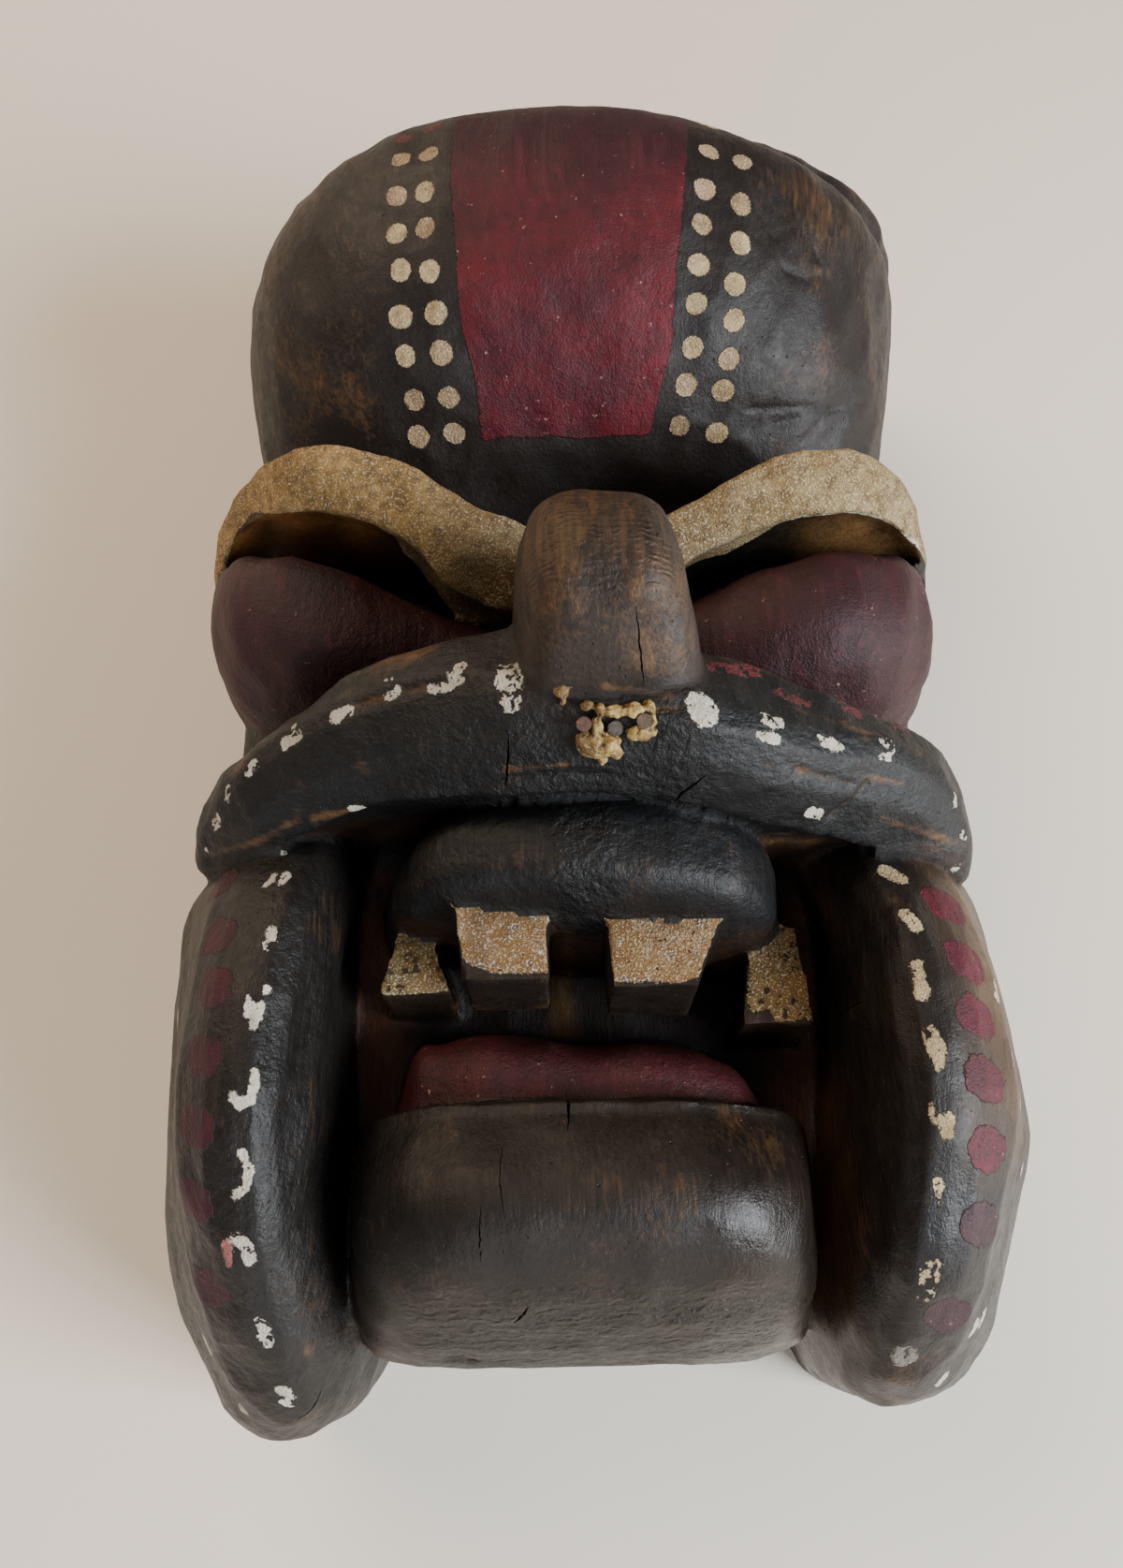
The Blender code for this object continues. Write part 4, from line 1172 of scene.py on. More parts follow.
# Where hands and knocks have worn the stain through: chain of places, reach, amount
worn_places = [
    ([(-66, 72, 100), (-58, 68, 104)], 9, 0.34),
    ([(-74, 84, 104), (-70, 76, 104)], 8, 0.3),
    ([(56, 108, 124), (64, 100, 118)], 11, 0.3),
    ([(-6, -22, 159), (-4, -4, 157)], 7, 0.4),
    ([(10, -26, 158), (12, -34, 150)], 5, 0.45),
    ([(2.4, -37.5, 144.2), (15.1, -38.8, 142.3)], 0.9, 0.9),
    ([(12.1, -40.8, 141.6), (16.6, -41, 141.6)], 0.8, 0.9),
    ([(-46.3, -30.9, 126), (-33, -31, 132.5), (-24, -31.5, 136.4)], 0.8, 0.8),
    ([(-40.9, -22.1, 127.3), (-32.1, -21.2, 130.4)], 2.8, 0.8),
    ([(40.3, -47.8, 128), (52.6, -47.9, 120.7)], 0.7, 0.7),
    ([(55, -46.2, 120.9), (64.8, -45.4, 115.4)], 0.6, 0.7),
    ([(49.1, -52.6, 115.5), (56.1, -47.4, 119)], 0.8, 0.8),
    ([(-15.9, -47.4, 129.7), (-4.1, -47.6, 132.4)], 0.6, 0.8),
    ([(-57.6, -47.9, 108.2), (-49, -47.6, 111.4)], 0.9, 0.9),
    ([(-84, -50, 92), (-70, -49, 100), (-60, -47.5, 107)], 0.9, 0.7),
    ([(-75, -36, 107), (-60, -31, 116), (-48, -27.5, 124)], 0.7, 0.6),
    ([(60, -50, 110), (72, -51, 103), (82, -52, 96)], 0.9, 0.8),
    ([(40, -36, 131), (55, -37, 124), (70, -38, 114)], 0.8, 0.6),
    ([(47.3, -50.8, 96.9), (40, -50.8, 99)], 5, 0.8),
    ([(40.6, -64, 94)], 1.6, 0.9),
    ([(26, -110, 101), (34, -112, 99)], 5, 0.5),
    ([(14, -124, 106), (4, -130, 104)], 7, 0.3),
    ([(74, -60, 96), (84, -74, 96), (87, -92, 92), (86, -112, 84)], 6, 0.5),
    ([(60, -155, 72), (66, -153, 74)], 5, 0.45),
    ([(-44, -142, 62), (-46, -150, 58)], 3.5, 0.8),
    ([(-26.5, -151, 66)], 1.2, 1.0),
    ([(-60, -162, 62)], 3, 0.5),
    ([(-58, -148, 78)], 2, 0.6),
]
bare = np.zeros(len(places))
for chain, size, amount in worn_places:
    bare = np.maximum(bare, amount * np.exp(-((reach_of(places, snapped(chain)) / size) ** 2)))

# Gloss of polished places, ripples that the blade left on the chin and nose, and tarry lumps in the finish
gloss = 0.2 + 0.3 * on("jowl left", "jowl right") + 0.1 * on("moustache", "gum")
gloss += 1.3 * on("chin") * soft_step(x, 14, 30) + 0.6 * on("jowl right") * soft_step(-y, 112, 126)
gloss = np.where(in_hollow, -1.0, gloss)
chatter = on("chin") * soft_step(-y, 136, 144) * soft_step(z, 50, 60) * soft_step(40 - np.abs(x), 0, 10)
chatter = chatter + 0.35 * on("nose") * soft_step(y, -30, -22) * soft_step(6 - y, 0, 8)
pitted = on("gum") * soft_step(9 - np.abs(x + 1), 0, 5)
pitted = pitted + on("moustache") * soft_step(34 - np.abs(x + 6), 0, 10) * soft_step(-y, 33, 37)
pitted = pitted + 0.5 * on("moustache", "jowl left", "gum") + 0.6 * on("eye swell left", "lower lip")
level = spread(on("moustache").astype(float)[:, None], mask, 4)[:, 0]   # where fibres run side to side

for name, values in {"stain": stain, "paint": paint}.items():
    layer = mask.data.attributes.new(name, "FLOAT_COLOR", "POINT")
    opaque = np.column_stack([values, np.ones(len(values))])
    layer.data.foreach_set("color", opaque.astype(np.float32).ravel())
# The worn layer holds how proud, how sunken and how bare each place is; the sunken part darkens the colour
# as dirt and as painted shade.
layers = {
    "laid": (depth, flake, chalk),
    "worn": (proud, sunken_dirt_and_shade, bare),
    "surface": (gloss, chatter, pitted),
}
for name, columns in layers.items():
    layer = mask.data.attributes.new(name, "FLOAT_VECTOR", "POINT")
    layer.data.foreach_set("vector", np.column_stack(columns).astype(np.float32).ravel())
layer = mask.data.attributes.new("level", "FLOAT", "POINT")
layer.data.foreach_set("value", level.astype(np.float32))
deselect_all()
mask.select_set(True)
bpy.context.view_layer.objects.active = mask
bpy.ops.object.shade_smooth_by_angle(angle=math.radians(42))


def add_node(kind, settings, links, output=0):
    """Adds a node to the tree in hand and gives one output. Links has an input's value or its source."""
    node = tree.nodes.new("ShaderNode" + kind)
    for name, value in settings.items():
        setattr(node, name, value)
    for socket, value in links.items():
        if isinstance(value, bpy.types.NodeSocket):
            tree.links.new(value, node.inputs[socket])
        else:
            node.inputs[socket].default_value = value
    return node.outputs[output]


def solid(colour):
    """An sRGB hex colour as a socket holds it."""
    return (*linear(colour), 1)


# Stained and painted hardwood: satin near-black stain with fibres along the face, worn to brown on its
# edges, under chalky white and thin red earth paint that has flaked. Patterns are sized in millimetres.
# Input numbers. Math: 0 and 1 are its values, and MULTIPLY_ADD adds 2 to their product. MapRange: 0 is the
# value, 1 and 2 its range, 3 and 4 the new range. Mix: 0 is how much of the second; 2 and 3 are two numbers,
# 4 and 5 two vectors, and 6 and 7 two colours.
wood = bpy.data.materials.new("stained hardwood with earth paint")
wood.use_nodes = True
tree = wood.node_tree
shader = tree.nodes["Principled BSDF"]
spot = add_node("TexCoord", {}, {}, "Object")
IN_MM = (1000, 1000, 1000)
DOWN_THE_FACE, ACROSS_THE_FACE = (1000, 80, 1000), (80, 1000, 1000)   # fibres are long one way
in_mm = add_node("Mapping", {}, {0: spot, "Scale": IN_MM})
fibre_level = add_node("Attribute", {"attribute_name": "level"}, {}, "Fac")
along_fibre = add_node("Mix", {"data_type": "VECTOR"}, {
    0: fibre_level,
    4: add_node("Mapping", {}, {0: spot, "Scale": DOWN_THE_FACE}),
    5: add_node("Mapping", {}, {0: spot, "Scale": ACROSS_THE_FACE})}, 1)
stain_colour = add_node("Attribute", {"attribute_name": "stain"}, {}, "Color")
paint_colour = add_node("Attribute", {"attribute_name": "paint"}, {}, "Color")
laid = add_node("Attribute", {"attribute_name": "laid"}, {}, "Vector")
laid = add_node("SeparateXYZ", {}, {0: laid})
worn = add_node("Attribute", {"attribute_name": "worn"}, {}, "Vector")
worn = add_node("SeparateXYZ", {}, {0: worn})
surface = add_node("Attribute", {"attribute_name": "surface"}, {}, "Vector")
surface = add_node("SeparateXYZ", {}, {0: surface})
laid_depth, laid_flake, laid_chalk = laid.node.outputs
worn_proud, worn_dirt_and_shade, worn_bare = worn.node.outputs
surface_gloss, surface_chatter, surface_pitted = surface.node.outputs

MULTIPLY, ADD, SUBTRACT = {"operation": "MULTIPLY"}, {"operation": "ADD"}, {"operation": "SUBTRACT"}
MULTIPLY_ADD = {"operation": "MULTIPLY_ADD"}
MULTIPLY_CLAMPED = {"operation": "MULTIPLY", "use_clamp": True}
COLOURS = {"data_type": "RGBA"}

# Each scale is one over the size of the pattern. Real fibres and grit are under 0.3 mm and are drawn coarser
# here, so that they show
fibre = add_node("TexNoise", {}, {"Vector": along_fibre, "Scale": 1 / 0.9, "Detail": 5, "Roughness": 0.6})
streaks = add_node("TexNoise", {}, {"Vector": along_fibre, "Scale": 1 / 2.4, "Detail": 3, "Roughness": 0.55})
patches = add_node("TexNoise", {}, {"Vector": in_mm, "Scale": 1 / 13, "Detail": 4, "Roughness": 0.55})
mottle = add_node("TexNoise", {}, {"Vector": in_mm, "Scale": 1 / 2.6, "Detail": 5, "Roughness": 0.62})
chips = add_node("TexNoise", {}, {"Vector": in_mm, "Scale": 1 / 1.9, "Detail": 4, "Roughness": 0.6})
grit = add_node("TexNoise", {}, {"Vector": in_mm, "Scale": 1 / 0.5, "Detail": 3, "Roughness": 0.55})

# Stain: darker and lighter along the fibres, rubbed to brown where it stands proud, darkened where it is
# sunken by dirt and as painted shade
uneven = add_node("Math", MULTIPLY, {
    0: add_node("MapRange", {}, {0: fibre, 1: 0.3, 2: 0.7, 3: 0.62, 4: 1.38}),
    1: add_node("MapRange", {}, {0: patches, 1: 0.3, 2: 0.7, 3: 0.75, 4: 1.25})})
grey = add_node("CombineColor", {}, {0: uneven, 1: uneven, 2: uneven})
stained = add_node("Mix", {"data_type": "RGBA", "blend_type": "MULTIPLY"}, {
    0: 1.0, 6: stain_colour, 7: grey}, 2)
rubbing = add_node("Math", MULTIPLY_ADD, {0: worn_proud, 1: 0.4, 2: worn_bare})
rubbing = add_node("Math", ADD, {
    0: rubbing, 1: add_node("MapRange", {}, {0: patches, 1: 0.35, 2: 0.7, 3: -0.25, 4: 0.2})})
rubbing = add_node("Math", ADD, {
    0: rubbing, 1: add_node("MapRange", {}, {0: fibre, 1: 0.3, 2: 0.7, 3: -0.24, 4: 0.26})})
rubbed = add_node("MapRange", {}, {0: rubbing, 1: 0.2, 2: 1.0, 3: 0.0, 4: 0.95})
brown = add_node("Mix", COLOURS, {
    0: add_node("MapRange", {}, {0: streaks, 1: 0.35, 2: 0.65, 3: 0.0, 4: 1.0}),
    6: solid("#33241c"), 7: solid("#6b4c2a")}, 2)
timber = add_node("Mix", COLOURS, {0: rubbed, 6: stained, 7: brown}, 2)
# Sunken wood is darkened, by dirt and as painted shade.
grime_and_shade = add_node("Math", MULTIPLY_CLAMPED, {
    0: worn_dirt_and_shade, 1: add_node("MapRange", {}, {0: mottle, 1: 0.3, 2: 0.6, 3: 0.95, 4: 0.5})})
timber = add_node("Mix", COLOURS, {0: grime_and_shade, 6: timber, 7: solid("#080605")}, 2)

# Where paint covers the wood: inside its ragged edge, apart from the chips that have flaked off
wander = add_node("Math", MULTIPLY_ADD, {0: laid_flake, 1: 1.4, 2: 0.16})
ragged = add_node("Math", MULTIPLY_ADD, {
    0: add_node("MapRange", {}, {0: mottle, 1: 0.25, 2: 0.75, 3: -1.0, 4: 1.0}), 1: wander, 2: laid_depth})
ragged = add_node("Math", ADD, {
    0: ragged, 1: add_node("MapRange", {}, {0: grit, 1: 0.3, 2: 0.7, 3: -0.15, 4: 0.15})})
chip_level = add_node("Math", MULTIPLY_ADD, {0: laid_flake, 1: 0.36, 2: 0.24})
unchipped = add_node("Math", MULTIPLY, {0: add_node("Math", SUBTRACT, {0: chips, 1: chip_level}), 1: 16.0})
cover = add_node("Math", {"operation": "MINIMUM"}, {0: ragged, 1: unchipped})
covered = add_node("MapRange", {}, {0: cover, 1: -0.1, 2: 0.14, 3: 0.0, 4: 1.0})

# Chalky paint: cream with darker handled patches and paler grit. On the teeth ochre and grey flecks show too
handled = add_node("MapRange", {}, {0: laid_chalk, 1: 0.8, 2: 1.0, 3: 0.2, 4: 0.7})
darker = add_node("Math", MULTIPLY, {
    0: handled, 1: add_node("MapRange", {}, {0: patches, 1: 0.4, 2: 0.6, 3: 1.0, 4: 0.0})})
chalky = add_node("Mix", COLOURS, {0: darker, 6: paint_colour, 7: solid("#7d6238")}, 2)
dirtier = add_node("Math", MULTIPLY, {
    0: handled, 1: add_node("MapRange", {}, {0: mottle, 1: 0.38, 2: 0.58, 3: 1.0, 4: 0.0})})
chalky = add_node("Mix", COLOURS, {0: dirtier, 6: chalky, 7: solid("#5b4528")}, 2)
pale = add_node("MapRange", {}, {0: grit, 1: 0.53, 2: 0.68, 3: 0.0, 4: 0.6})
chalky = add_node("Mix", COLOURS, {0: pale, 6: chalky, 7: solid("#e2d6bc")}, 2)
speckled = add_node("Math", {"operation": "SUBTRACT", "use_clamp": True}, {0: laid_chalk, 1: 1.0})
ochre = add_node("Math", ADD, {0: mottle, 1: grit})
ochre = add_node("Math", MULTIPLY, {
    0: speckled, 1: add_node("MapRange", {}, {0: ochre, 1: 0.88, 2: 1.04, 3: 0.65, 4: 0.0})})
chalky = add_node("Mix", COLOURS, {0: ochre, 6: chalky, 7: solid("#8a6036")}, 2)
bluish = add_node("Math", MULTIPLY, {
    0: speckled, 1: add_node("MapRange", {}, {0: chips, 1: 0.57, 2: 0.64, 3: 0.0, 4: 0.75})})
fleck = add_node("MapRange", {}, {0: grit, 1: 0.45, 2: 0.6, 3: 0.0, 4: 1.0})
fleck = add_node("Mix", COLOURS, {0: fleck, 6: solid("#4c4a46"), 7: solid("#cdc8bc")}, 2)
chalky = add_node("Mix", COLOURS, {0: bluish, 6: chalky, 7: fleck}, 2)

# Red paint: thin and dull in patches, streaked pink by the brush, with a few pale specks
dull = add_node("MapRange", {}, {0: patches, 1: 0.36, 2: 0.62, 3: 0.45, 4: 0.0})
red = add_node("Mix", COLOURS, {0: dull, 6: paint_colour, 7: solid("#1c0b0f")}, 2)
blotch = add_node("MapRange", {}, {0: mottle, 1: 0.36, 2: 0.55, 3: 0.4, 4: 0.0})
red = add_node("Mix", COLOURS, {0: blotch, 6: red, 7: solid("#1f1012")}, 2)
brushed = add_node("MapRange", {}, {0: streaks, 1: 0.54, 2: 0.7, 3: 0.0, 4: 0.2})
red = add_node("Mix", COLOURS, {0: brushed, 6: red, 7: solid("#6b3036")}, 2)
specks = add_node("MapRange", {}, {0: chips, 1: 0.68, 2: 0.72, 3: 0.0, 4: 0.7})
red = add_node("Mix", COLOURS, {0: specks, 6: red, 7: solid("#b08a80")}, 2)
painted = add_node("Mix", COLOURS, {0: laid_chalk, 6: red, 7: chalky}, 2)
# Paint in the hollows is darkened too, by dirt and as painted shade.
dirt_and_shade = add_node("Math", MULTIPLY_CLAMPED, {0: worn_dirt_and_shade, 1: 0.7})
painted = add_node("Mix", COLOURS, {0: dirt_and_shade, 6: painted, 7: solid("#140d0a")}, 2)
tree.links.new(add_node("Mix", COLOURS, {0: covered, 6: timber, 7: painted}, 2), shader.inputs["Base Color"])

satin = add_node("Math", MULTIPLY_ADD, {
    0: surface_gloss, 1: -0.16, 2: add_node("MapRange", {}, {0: mottle, 1: 0.3, 2: 0.7, 3: 0.46, 4: 0.64})})
matt = add_node("Mix", {}, {0: laid_chalk, 2: 0.55, 3: 0.86})
tree.links.new(add_node("Mix", {}, {0: covered, 2: satin, 3: matt}), shader.inputs["Roughness"])
shader.inputs["IOR"].default_value = 1.5
shader.inputs["Specular IOR Level"].default_value = 0.34   # old dry stain shines less than fresh varnish

# Relief in millimetres: fibres, grit, tarry lumps, the body of the paint, pores and the ripples of the gouge
relief = add_node("Math", MULTIPLY, {0: fibre, 1: 0.17})
relief = add_node("Math", MULTIPLY_ADD, {0: grit, 1: 0.1, 2: relief})
relief = add_node("Math", MULTIPLY_ADD, {0: mottle, 1: 0.16, 2: relief})
tar = add_node("Math", MULTIPLY, {0: chips, 1: surface_pitted})
relief = add_node("Math", MULTIPLY_ADD, {0: tar, 1: 0.8, 2: relief})
body = add_node("Math", MULTIPLY_ADD, {0: grit, 1: 0.35, 2: 0.12})
body = add_node("Math", MULTIPLY, {0: body, 1: add_node("Math", ADD, {0: laid_chalk, 1: 0.5})})
body = add_node("Math", MULTIPLY_ADD, {0: streaks, 1: 0.35, 2: body})
relief = add_node("Math", MULTIPLY_ADD, {0: covered, 1: body, 2: relief})
pores = add_node("TexVoronoi", {}, {"Vector": in_mm, "Scale": 1 / 3.4}, "Distance")
relief = add_node("Math", SUBTRACT, {
    0: relief, 1: add_node("MapRange", {}, {0: pores, 1: 0.05, 2: 0.1, 3: 0.2, 4: 0.0})})
ripples = add_node("TexWave", {"bands_direction": "Y"}, {
    "Vector": in_mm, "Scale": 0.24, "Distortion": 9.0, "Detail": 4.0}, "Fac")
broken = add_node("Math", MULTIPLY, {
    0: surface_chatter, 1: add_node("MapRange", {}, {0: chips, 1: 0.4, 2: 0.6, 3: 0.0, 4: 0.55})})
relief = add_node("Math", MULTIPLY_ADD, {0: ripples, 1: broken, 2: relief})
bump = add_node("Bump", {}, {"Height": relief, "Distance": 0.001, "Strength": 1.0})
tree.links.new(bump, shader.inputs["Normal"])
mask.data.materials.clear()
mask.data.materials.append(wood)
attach(mask, "root")
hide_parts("mask")

# The hide
# What is left of a strip of animal hide that was nailed over the moustache. It has dried hard, shrivelled
# into lumps with pits and thin curled rims, and yellowed. A crumb of the same hide is stuck beside the nose.
FLECK_PLACE = (-5.2, -37.6, 142.2)
HIDE_VOXEL = 0.00028
HEAD_RADIUS, HEAD_HEIGHT, HEAD_ROOM = 1.5, 0.7, 0.1
CLEAR_OF_HIDE = 8   # how far a nail's cutter reaches out of the hide
OVERLAP = 0.1
# right, up and out from the middle nail, half width, half height and half thickness
hide_lumps = {
    "hide_scrap": [
        (-5.1, -3.0, -0.6, 2.6, 2.9, 3.0),
        (-3.2, -3.2, -0.6, 2.6, 2.8, 3.6),
        (-1.3, -3.0, -0.6, 2.6, 2.6, 3.8),
        (-2.4, -6.2, -1.5, 1.1, 1.3, 2.1),
        (0.4, -4.8, -1.0, 1.5, 1.2, 2.7),
        (-3.5, 0.2, 0.0, 1.3, 2.3, 2.3),
        (-5.1, 4.3, 0.0, 1.6, 1.1, 2.7),
        (-2.7, 3.4, 0.0, 1.2, 1.5, 2.7),
        (0.0, 3.0, 0.0, 3.1, 1.4, 2.0),
        (3.4, 3.3, 0.0, 2.1, 1.8, 2.3),
        (6.2, 4.3, -0.2, 1.2, 1.2, 2.5),
        (7.0, 1.6, -0.1, 1.1, 2.7, 2.3),
        (4.5, -1.0, 0.0, 2.9, 1.8, 2.4),
        (6.9, -0.7, -0.1, 1.3, 1.2, 1.9),
    ],
    "hide_fleck": [
        (0.0, 0.2, 0.2, 1.6, 1.6, 1.7),
        (0.2, -1.5, 0.2, 0.7, 1.0, 1.3),
        (1.9, 1.1, 0.3, 1.2, 0.5, 1.1),
    ],
}

# Dried hide: horny, browned on its thin left rim, darkened in its hollows and where it lies against the
# wood, by dirt and as painted shade, and waxy on its lumps
horn = bpy.data.materials.new("dried yellowed hide")
horn.use_nodes = True
tree = horn.node_tree
shader = tree.nodes["Principled BSDF"]
spot = add_node("TexCoord", {}, {}, "Object")
in_mm = add_node("Mapping", {}, {0: spot, "Scale": IN_MM})
dirt_and_shade_part = add_node("Attribute", {"attribute_name": "sunken_dirt_and_shade"}, {}, "Fac")
brown_part = add_node("Attribute", {"attribute_name": "browned"}, {}, "Fac")
clouds = add_node("TexNoise", {}, {"Vector": in_mm, "Scale": 1 / 1.7, "Detail": 4, "Roughness": 0.55})
fine = add_node("TexNoise", {}, {"Vector": in_mm, "Scale": 1 / 0.4, "Detail": 3, "Roughness": 0.55})
cloudy = add_node("MapRange", {}, {0: clouds, 1: 0.38, 2: 0.62, 3: 0.0, 4: 1.0})
hide_colour = add_node("Mix", COLOURS, {0: cloudy, 6: solid("#7a5a28"), 7: solid("#c4a965")}, 2)
hide_colour = add_node("Mix", COLOURS, {0: brown_part, 6: hide_colour, 7: solid("#5a3c20")}, 2)
crests = add_node("MapRange", {}, {0: fine, 1: 0.57, 2: 0.7, 3: 0.0, 4: 0.55})
hide_colour = add_node("Mix", COLOURS, {0: crests, 6: hide_colour, 7: solid("#e0d3a8")}, 2)
hide_colour = add_node("Mix", COLOURS, {0: dirt_and_shade_part, 6: hide_colour, 7: solid("#2e2110")}, 2)
tree.links.new(hide_colour, shader.inputs["Base Color"])
waxy = add_node("MapRange", {}, {0: fine, 1: 0.3, 2: 0.7, 3: 0.5, 4: 0.78})
tree.links.new(waxy, shader.inputs["Roughness"])
shader.inputs["IOR"].default_value = 1.54
puckers = add_node("Math", MULTIPLY_ADD, {0: clouds, 1: 0.6, 2: fine})
bump = add_node("Bump", {}, {"Height": puckers, "Distance": 0.0004, "Strength": 0.8})
tree.links.new(bump, shader.inputs["Normal"])

for name, lumps in hide_lumps.items():
    frame_here = on_face(SCRAP_PLACE if name == "hide_scrap" else FLECK_PLACE)
    deselect_all()
    balls = []
    for right, up, out, half_width, half_height, half_thickness in lumps:
        bpy.ops.mesh.primitive_uv_sphere_add(segments=24, ring_count=12, radius=MM)
        ball = bpy.context.object
        size = Matrix.Diagonal((half_width, half_height, half_thickness, 1))
        ball.data.transform(frame_here @ Matrix.Translation(Vector((right, up, out)) * MM) @ size)
        balls.append(ball)
    for ball in balls:
        ball.select_set(True)
    bpy.ops.object.join()
    hide = bpy.context.object
    hide.name = "dried_" + name
    skin = hide.modifiers.new("one skin", "REMESH")
    skin.mode = "VOXEL"
    skin.voxel_size = HIDE_VOXEL
    apply_modifiers(hide)
    hide_places = mesh_places(hide)
    wrinkled = 0.5 * np.abs(patchiness(hide_places, 1.5, 21))
    wrinkled += 0.22 * patchiness(hide_places, 0.7, 22) - 0.36
    move_vertices(hide, hide_places + mesh_normals(hide) * wrinkled[:, None])
    rub = hide.modifiers.new("softened", "SMOOTH")
    rub.factor = 0.5
    rub.iterations = 1
    apply_modifiers(hide)
    wood_copy = mask.copy()
    wood_copy.data = mask.data.copy()
    bpy.context.scene.collection.objects.link(wood_copy)
    cut_away(hide, wood_copy)
    if name == "hide_scrap":
        for nail_frame in nail_frames.values():
            hole_radius, room_radius = SHANK_RADIUS + HOLE_ROOM, HEAD_RADIUS + HEAD_ROOM
            cut_away(hide, cylinder("room for a nail", hole_radius, -NAIL_LENGTH, OVERLAP, nail_frame))
            cut_away(hide, cylinder("room for a head", room_radius, 0, CLEAR_OF_HIDE, nail_frame))
    hide_places = mesh_places(hide)
    height = np.sum((hide_places - spread(hide_places, hide, 10)) * mesh_normals(hide), axis=1)
    seat = gaps_to(mask_tree, [v.co for v in hide.data.vertices])
    across = (np.array([(frame_here.inverted() @ v.co).x for v in hide.data.vertices]) / MM + 5) / 4
    browned = np.clip(0.75 - across, 0, 0.75) * (name == "hide_scrap") + 0.7 * (name == "hide_fleck")
    # The hollows of the hide, and where it lies against the wood, are darkened by dirt and as painted shade.
    hollow_dirt_and_shade = np.clip(-height / 0.12, 0, 0.8) + np.clip(0.5 - seat, 0, 0.5)
    for layer_name, values in {"sunken_dirt_and_shade": hollow_dirt_and_shade, "browned": browned}.items():
        layer = hide.data.attributes.new(layer_name, "FLOAT", "POINT")
        layer.data.foreach_set("value", values.astype(np.float32))
    bpy.ops.object.shade_smooth_by_angle(angle=math.radians(50))
    hide.data.materials.clear()
    hide.data.materials.append(horn)
    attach(hide, "root")
    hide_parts(name)

# The nails
# Three short round iron nails, driven by hand through the hide, with flat heads that have rusted to a dull
# brown skin. Each head stands a little proud of the hide that has shrunk around it.

# Rusted iron: no bare metal shows, so it is matt and brown, with darker pits and a few paler worn spots
rust = bpy.data.materials.new("rusted iron")
rust.use_nodes = True
tree = rust.node_tree
shader = tree.nodes["Principled BSDF"]
spot = add_node("TexCoord", {}, {}, "Object")
in_mm = add_node("Mapping", {}, {0: spot, "Scale": IN_MM})
own_shade = add_node("Attribute", {"attribute_name": "rust"}, {}, "Color")
clouds = add_node("TexNoise", {}, {"Vector": in_mm, "Scale": 1 / 1.1, "Detail": 4, "Roughness": 0.55})
fine = add_node("TexNoise", {}, {"Vector": in_mm, "Scale": 1 / 0.3, "Detail": 3, "Roughness": 0.55})
worn_spots = add_node("MapRange", {}, {0: clouds, 1: 0.35, 2: 0.65, 3: 0.0, 4: 1.0})
rust_colour = add_node("Mix", COLOURS, {0: worn_spots, 6: own_shade, 7: solid("#4c423a")}, 2)
pits = add_node("MapRange", {}, {0: fine, 1: 0.56, 2: 0.7, 3: 0.0, 4: 0.7})
rust_colour = add_node("Mix", COLOURS, {0: pits, 6: rust_colour, 7: solid("#1d1410")}, 2)
tree.links.new(rust_colour, shader.inputs["Base Color"])
crust = add_node("MapRange", {}, {0: clouds, 1: 0.3, 2: 0.7, 3: 0.62, 4: 0.85})
tree.links.new(crust, shader.inputs["Roughness"])
shader.inputs["Metallic"].default_value = 0.15
bump = add_node("Bump", {}, {"Height": fine, "Distance": 0.0003, "Strength": 0.9})
tree.links.new(bump, shader.inputs["Normal"])

rust_shades = {"nail_left": "#6d3f2a", "nail_middle": "#55504a", "nail_right": "#65503e"}
POINT_LENGTH = 2
POINT_SHARE = 0.15      # width of the point's end, as a share of the shank's
WORN_RIM = 0.22
for name, nail_frame in nail_frames.items():
    nail = cylinder("rusty_" + name, HEAD_RADIUS, 0, HEAD_HEIGHT, Matrix.Identity(4))
    bpy.ops.object.mode_set(mode="EDIT")
    bpy.ops.mesh.select_mode(type="FACE")
    bpy.ops.mesh.select_all(action="DESELECT")
    bpy.ops.object.mode_set(mode="OBJECT")
    underside = min(nail.data.polygons, key=lambda face: face.center.z)
    underside.select = True
    bpy.ops.object.mode_set(mode="EDIT")
    bpy.ops.mesh.inset(thickness=(HEAD_RADIUS - SHANK_RADIUS) * MM)
    shank = (0, 0, (POINT_LENGTH - NAIL_LENGTH) * MM)
    bpy.ops.mesh.extrude_region_move(TRANSFORM_OT_translate={"value": shank})
    bpy.ops.mesh.extrude_region_move(TRANSFORM_OT_translate={"value": (0, 0, -POINT_LENGTH * MM)})
    narrowed = (POINT_SHARE, POINT_SHARE, 1)
    bpy.ops.transform.resize(value=narrowed, center_override=(0, 0, -NAIL_LENGTH * MM))
    bpy.ops.object.mode_set(mode="OBJECT")
    worn_rim = nail.modifiers.new("worn rim", "BEVEL")
    worn_rim.width = WORN_RIM * MM
    worn_rim.segments = 3
    worn_rim.limit_method = "ANGLE"
    worn_rim.angle_limit = math.radians(50)
    finer = nail.modifiers.new("finer faces", "SUBSURF")
    finer.subdivision_type = "SIMPLE"
    finer.levels = 2
    finer.render_levels = 2
    apply_modifiers(nail)
    nail.data.transform(nail_frame)
    nail_places = mesh_places(nail)
    eaten = 0.09 * patchiness(nail_places, 0.8, 31) - 0.09
    move_vertices(nail, nail_places + mesh_normals(nail) * eaten[:, None])
    layer = nail.data.attributes.new("rust", "FLOAT_COLOR", "POINT")
    shade = np.tile([*linear(rust_shades[name]), 1], (len(nail_places), 1))
    layer.data.foreach_set("color", shade.astype(np.float32).ravel())
    bpy.ops.object.shade_smooth_by_angle(angle=math.radians(40))
    nail.data.materials.clear()
    nail.data.materials.append(rust)
    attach(nail, "root")
    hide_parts(name)

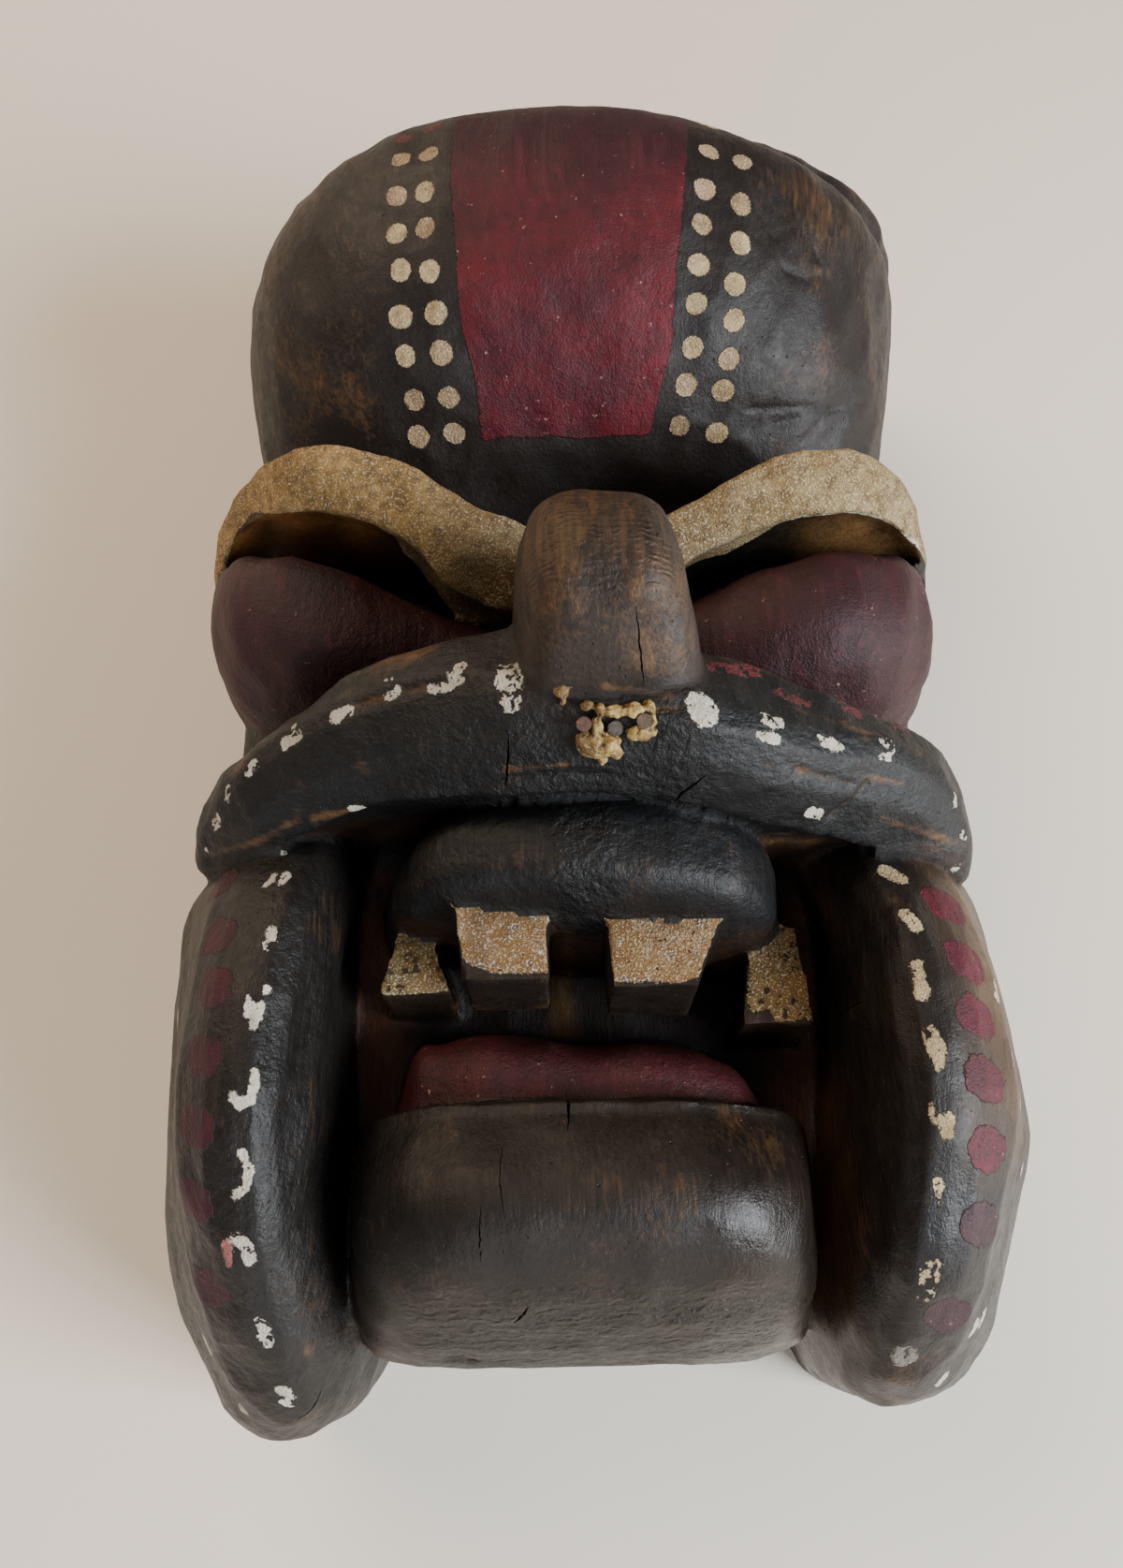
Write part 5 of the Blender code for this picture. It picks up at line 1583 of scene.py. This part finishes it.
# The floor, the light and the camera
# A plain matt floor in a pale cream, and soft daylight from a window at the right. A weak warm light from
# the room at the left fills the shadows. The camera looks down on the face from the side of the chin.
deselect_all()
FLOOR_SIZE = 6
bpy.ops.mesh.primitive_plane_add(size=FLOOR_SIZE)
floor = bpy.context.object
floor.name = "floor"
pale = bpy.data.materials.new("matt pale floor")
pale.use_nodes = True
floor_shader = pale.node_tree.nodes["Principled BSDF"]
floor_shader.inputs["Base Color"].default_value = (*linear("#f6ebdc"), 1)
floor_shader.inputs["Roughness"].default_value = 0.75
floor.data.materials.append(pale)


LIT_PLACE = Vector((0, 0, 0.08))   # the middle of the mask, at which each light points


def area_light(name, place, size, watts, colour):
    """A soft square light that points at the mask. Its place and size are in metres."""
    data = bpy.data.lights.new(name, "AREA")
    data.energy = watts
    data.size = size
    data.color = colour
    light = bpy.data.objects.new(name, data)
    bpy.context.scene.collection.objects.link(light)
    light.location = place
    light.rotation_euler = (LIT_PLACE - Vector(place)).to_track_quat("-Z", "Y").to_euler()


area_light("window", (1.1, -0.62, 0.78), 0.7, 42, (0.9, 0.95, 1.0))
area_light("room", (-0.9, 0.9, 1.2), 1.4, 25, (1.0, 0.77, 0.55))
area_light("sill", (-0.15, -1.1, 0.6), 0.6, 4, (0.93, 0.96, 1.0))
world = bpy.data.worlds.new("soft room")
world.use_nodes = True
background = world.node_tree.nodes["Background"]
background.inputs["Color"].default_value = (1.0, 0.96, 0.92, 1)
background.inputs["Strength"].default_value = 0.16
bpy.context.scene.world = world

SENSOR_MM, PICTURE_HEIGHT, FOCAL_PIXELS = 36, 1675, 1258
CAMERA_PLACE = Vector((-7, -142, 335))   # on the carver's lines
camera_data = bpy.data.cameras.new("camera")
camera_data.lens = SENSOR_MM * FOCAL_PIXELS / PICTURE_HEIGHT
camera_data.clip_start = 0.01
camera = bpy.data.objects.new("camera", camera_data)
bpy.context.scene.collection.objects.link(camera)
camera.location = (CAMERA_PLACE - RIM_MIDDLE) * MM
camera.rotation_euler = (math.radians(24), 0, math.radians(-1))
bpy.context.scene.camera = camera

bpy.context.view_layer.update()
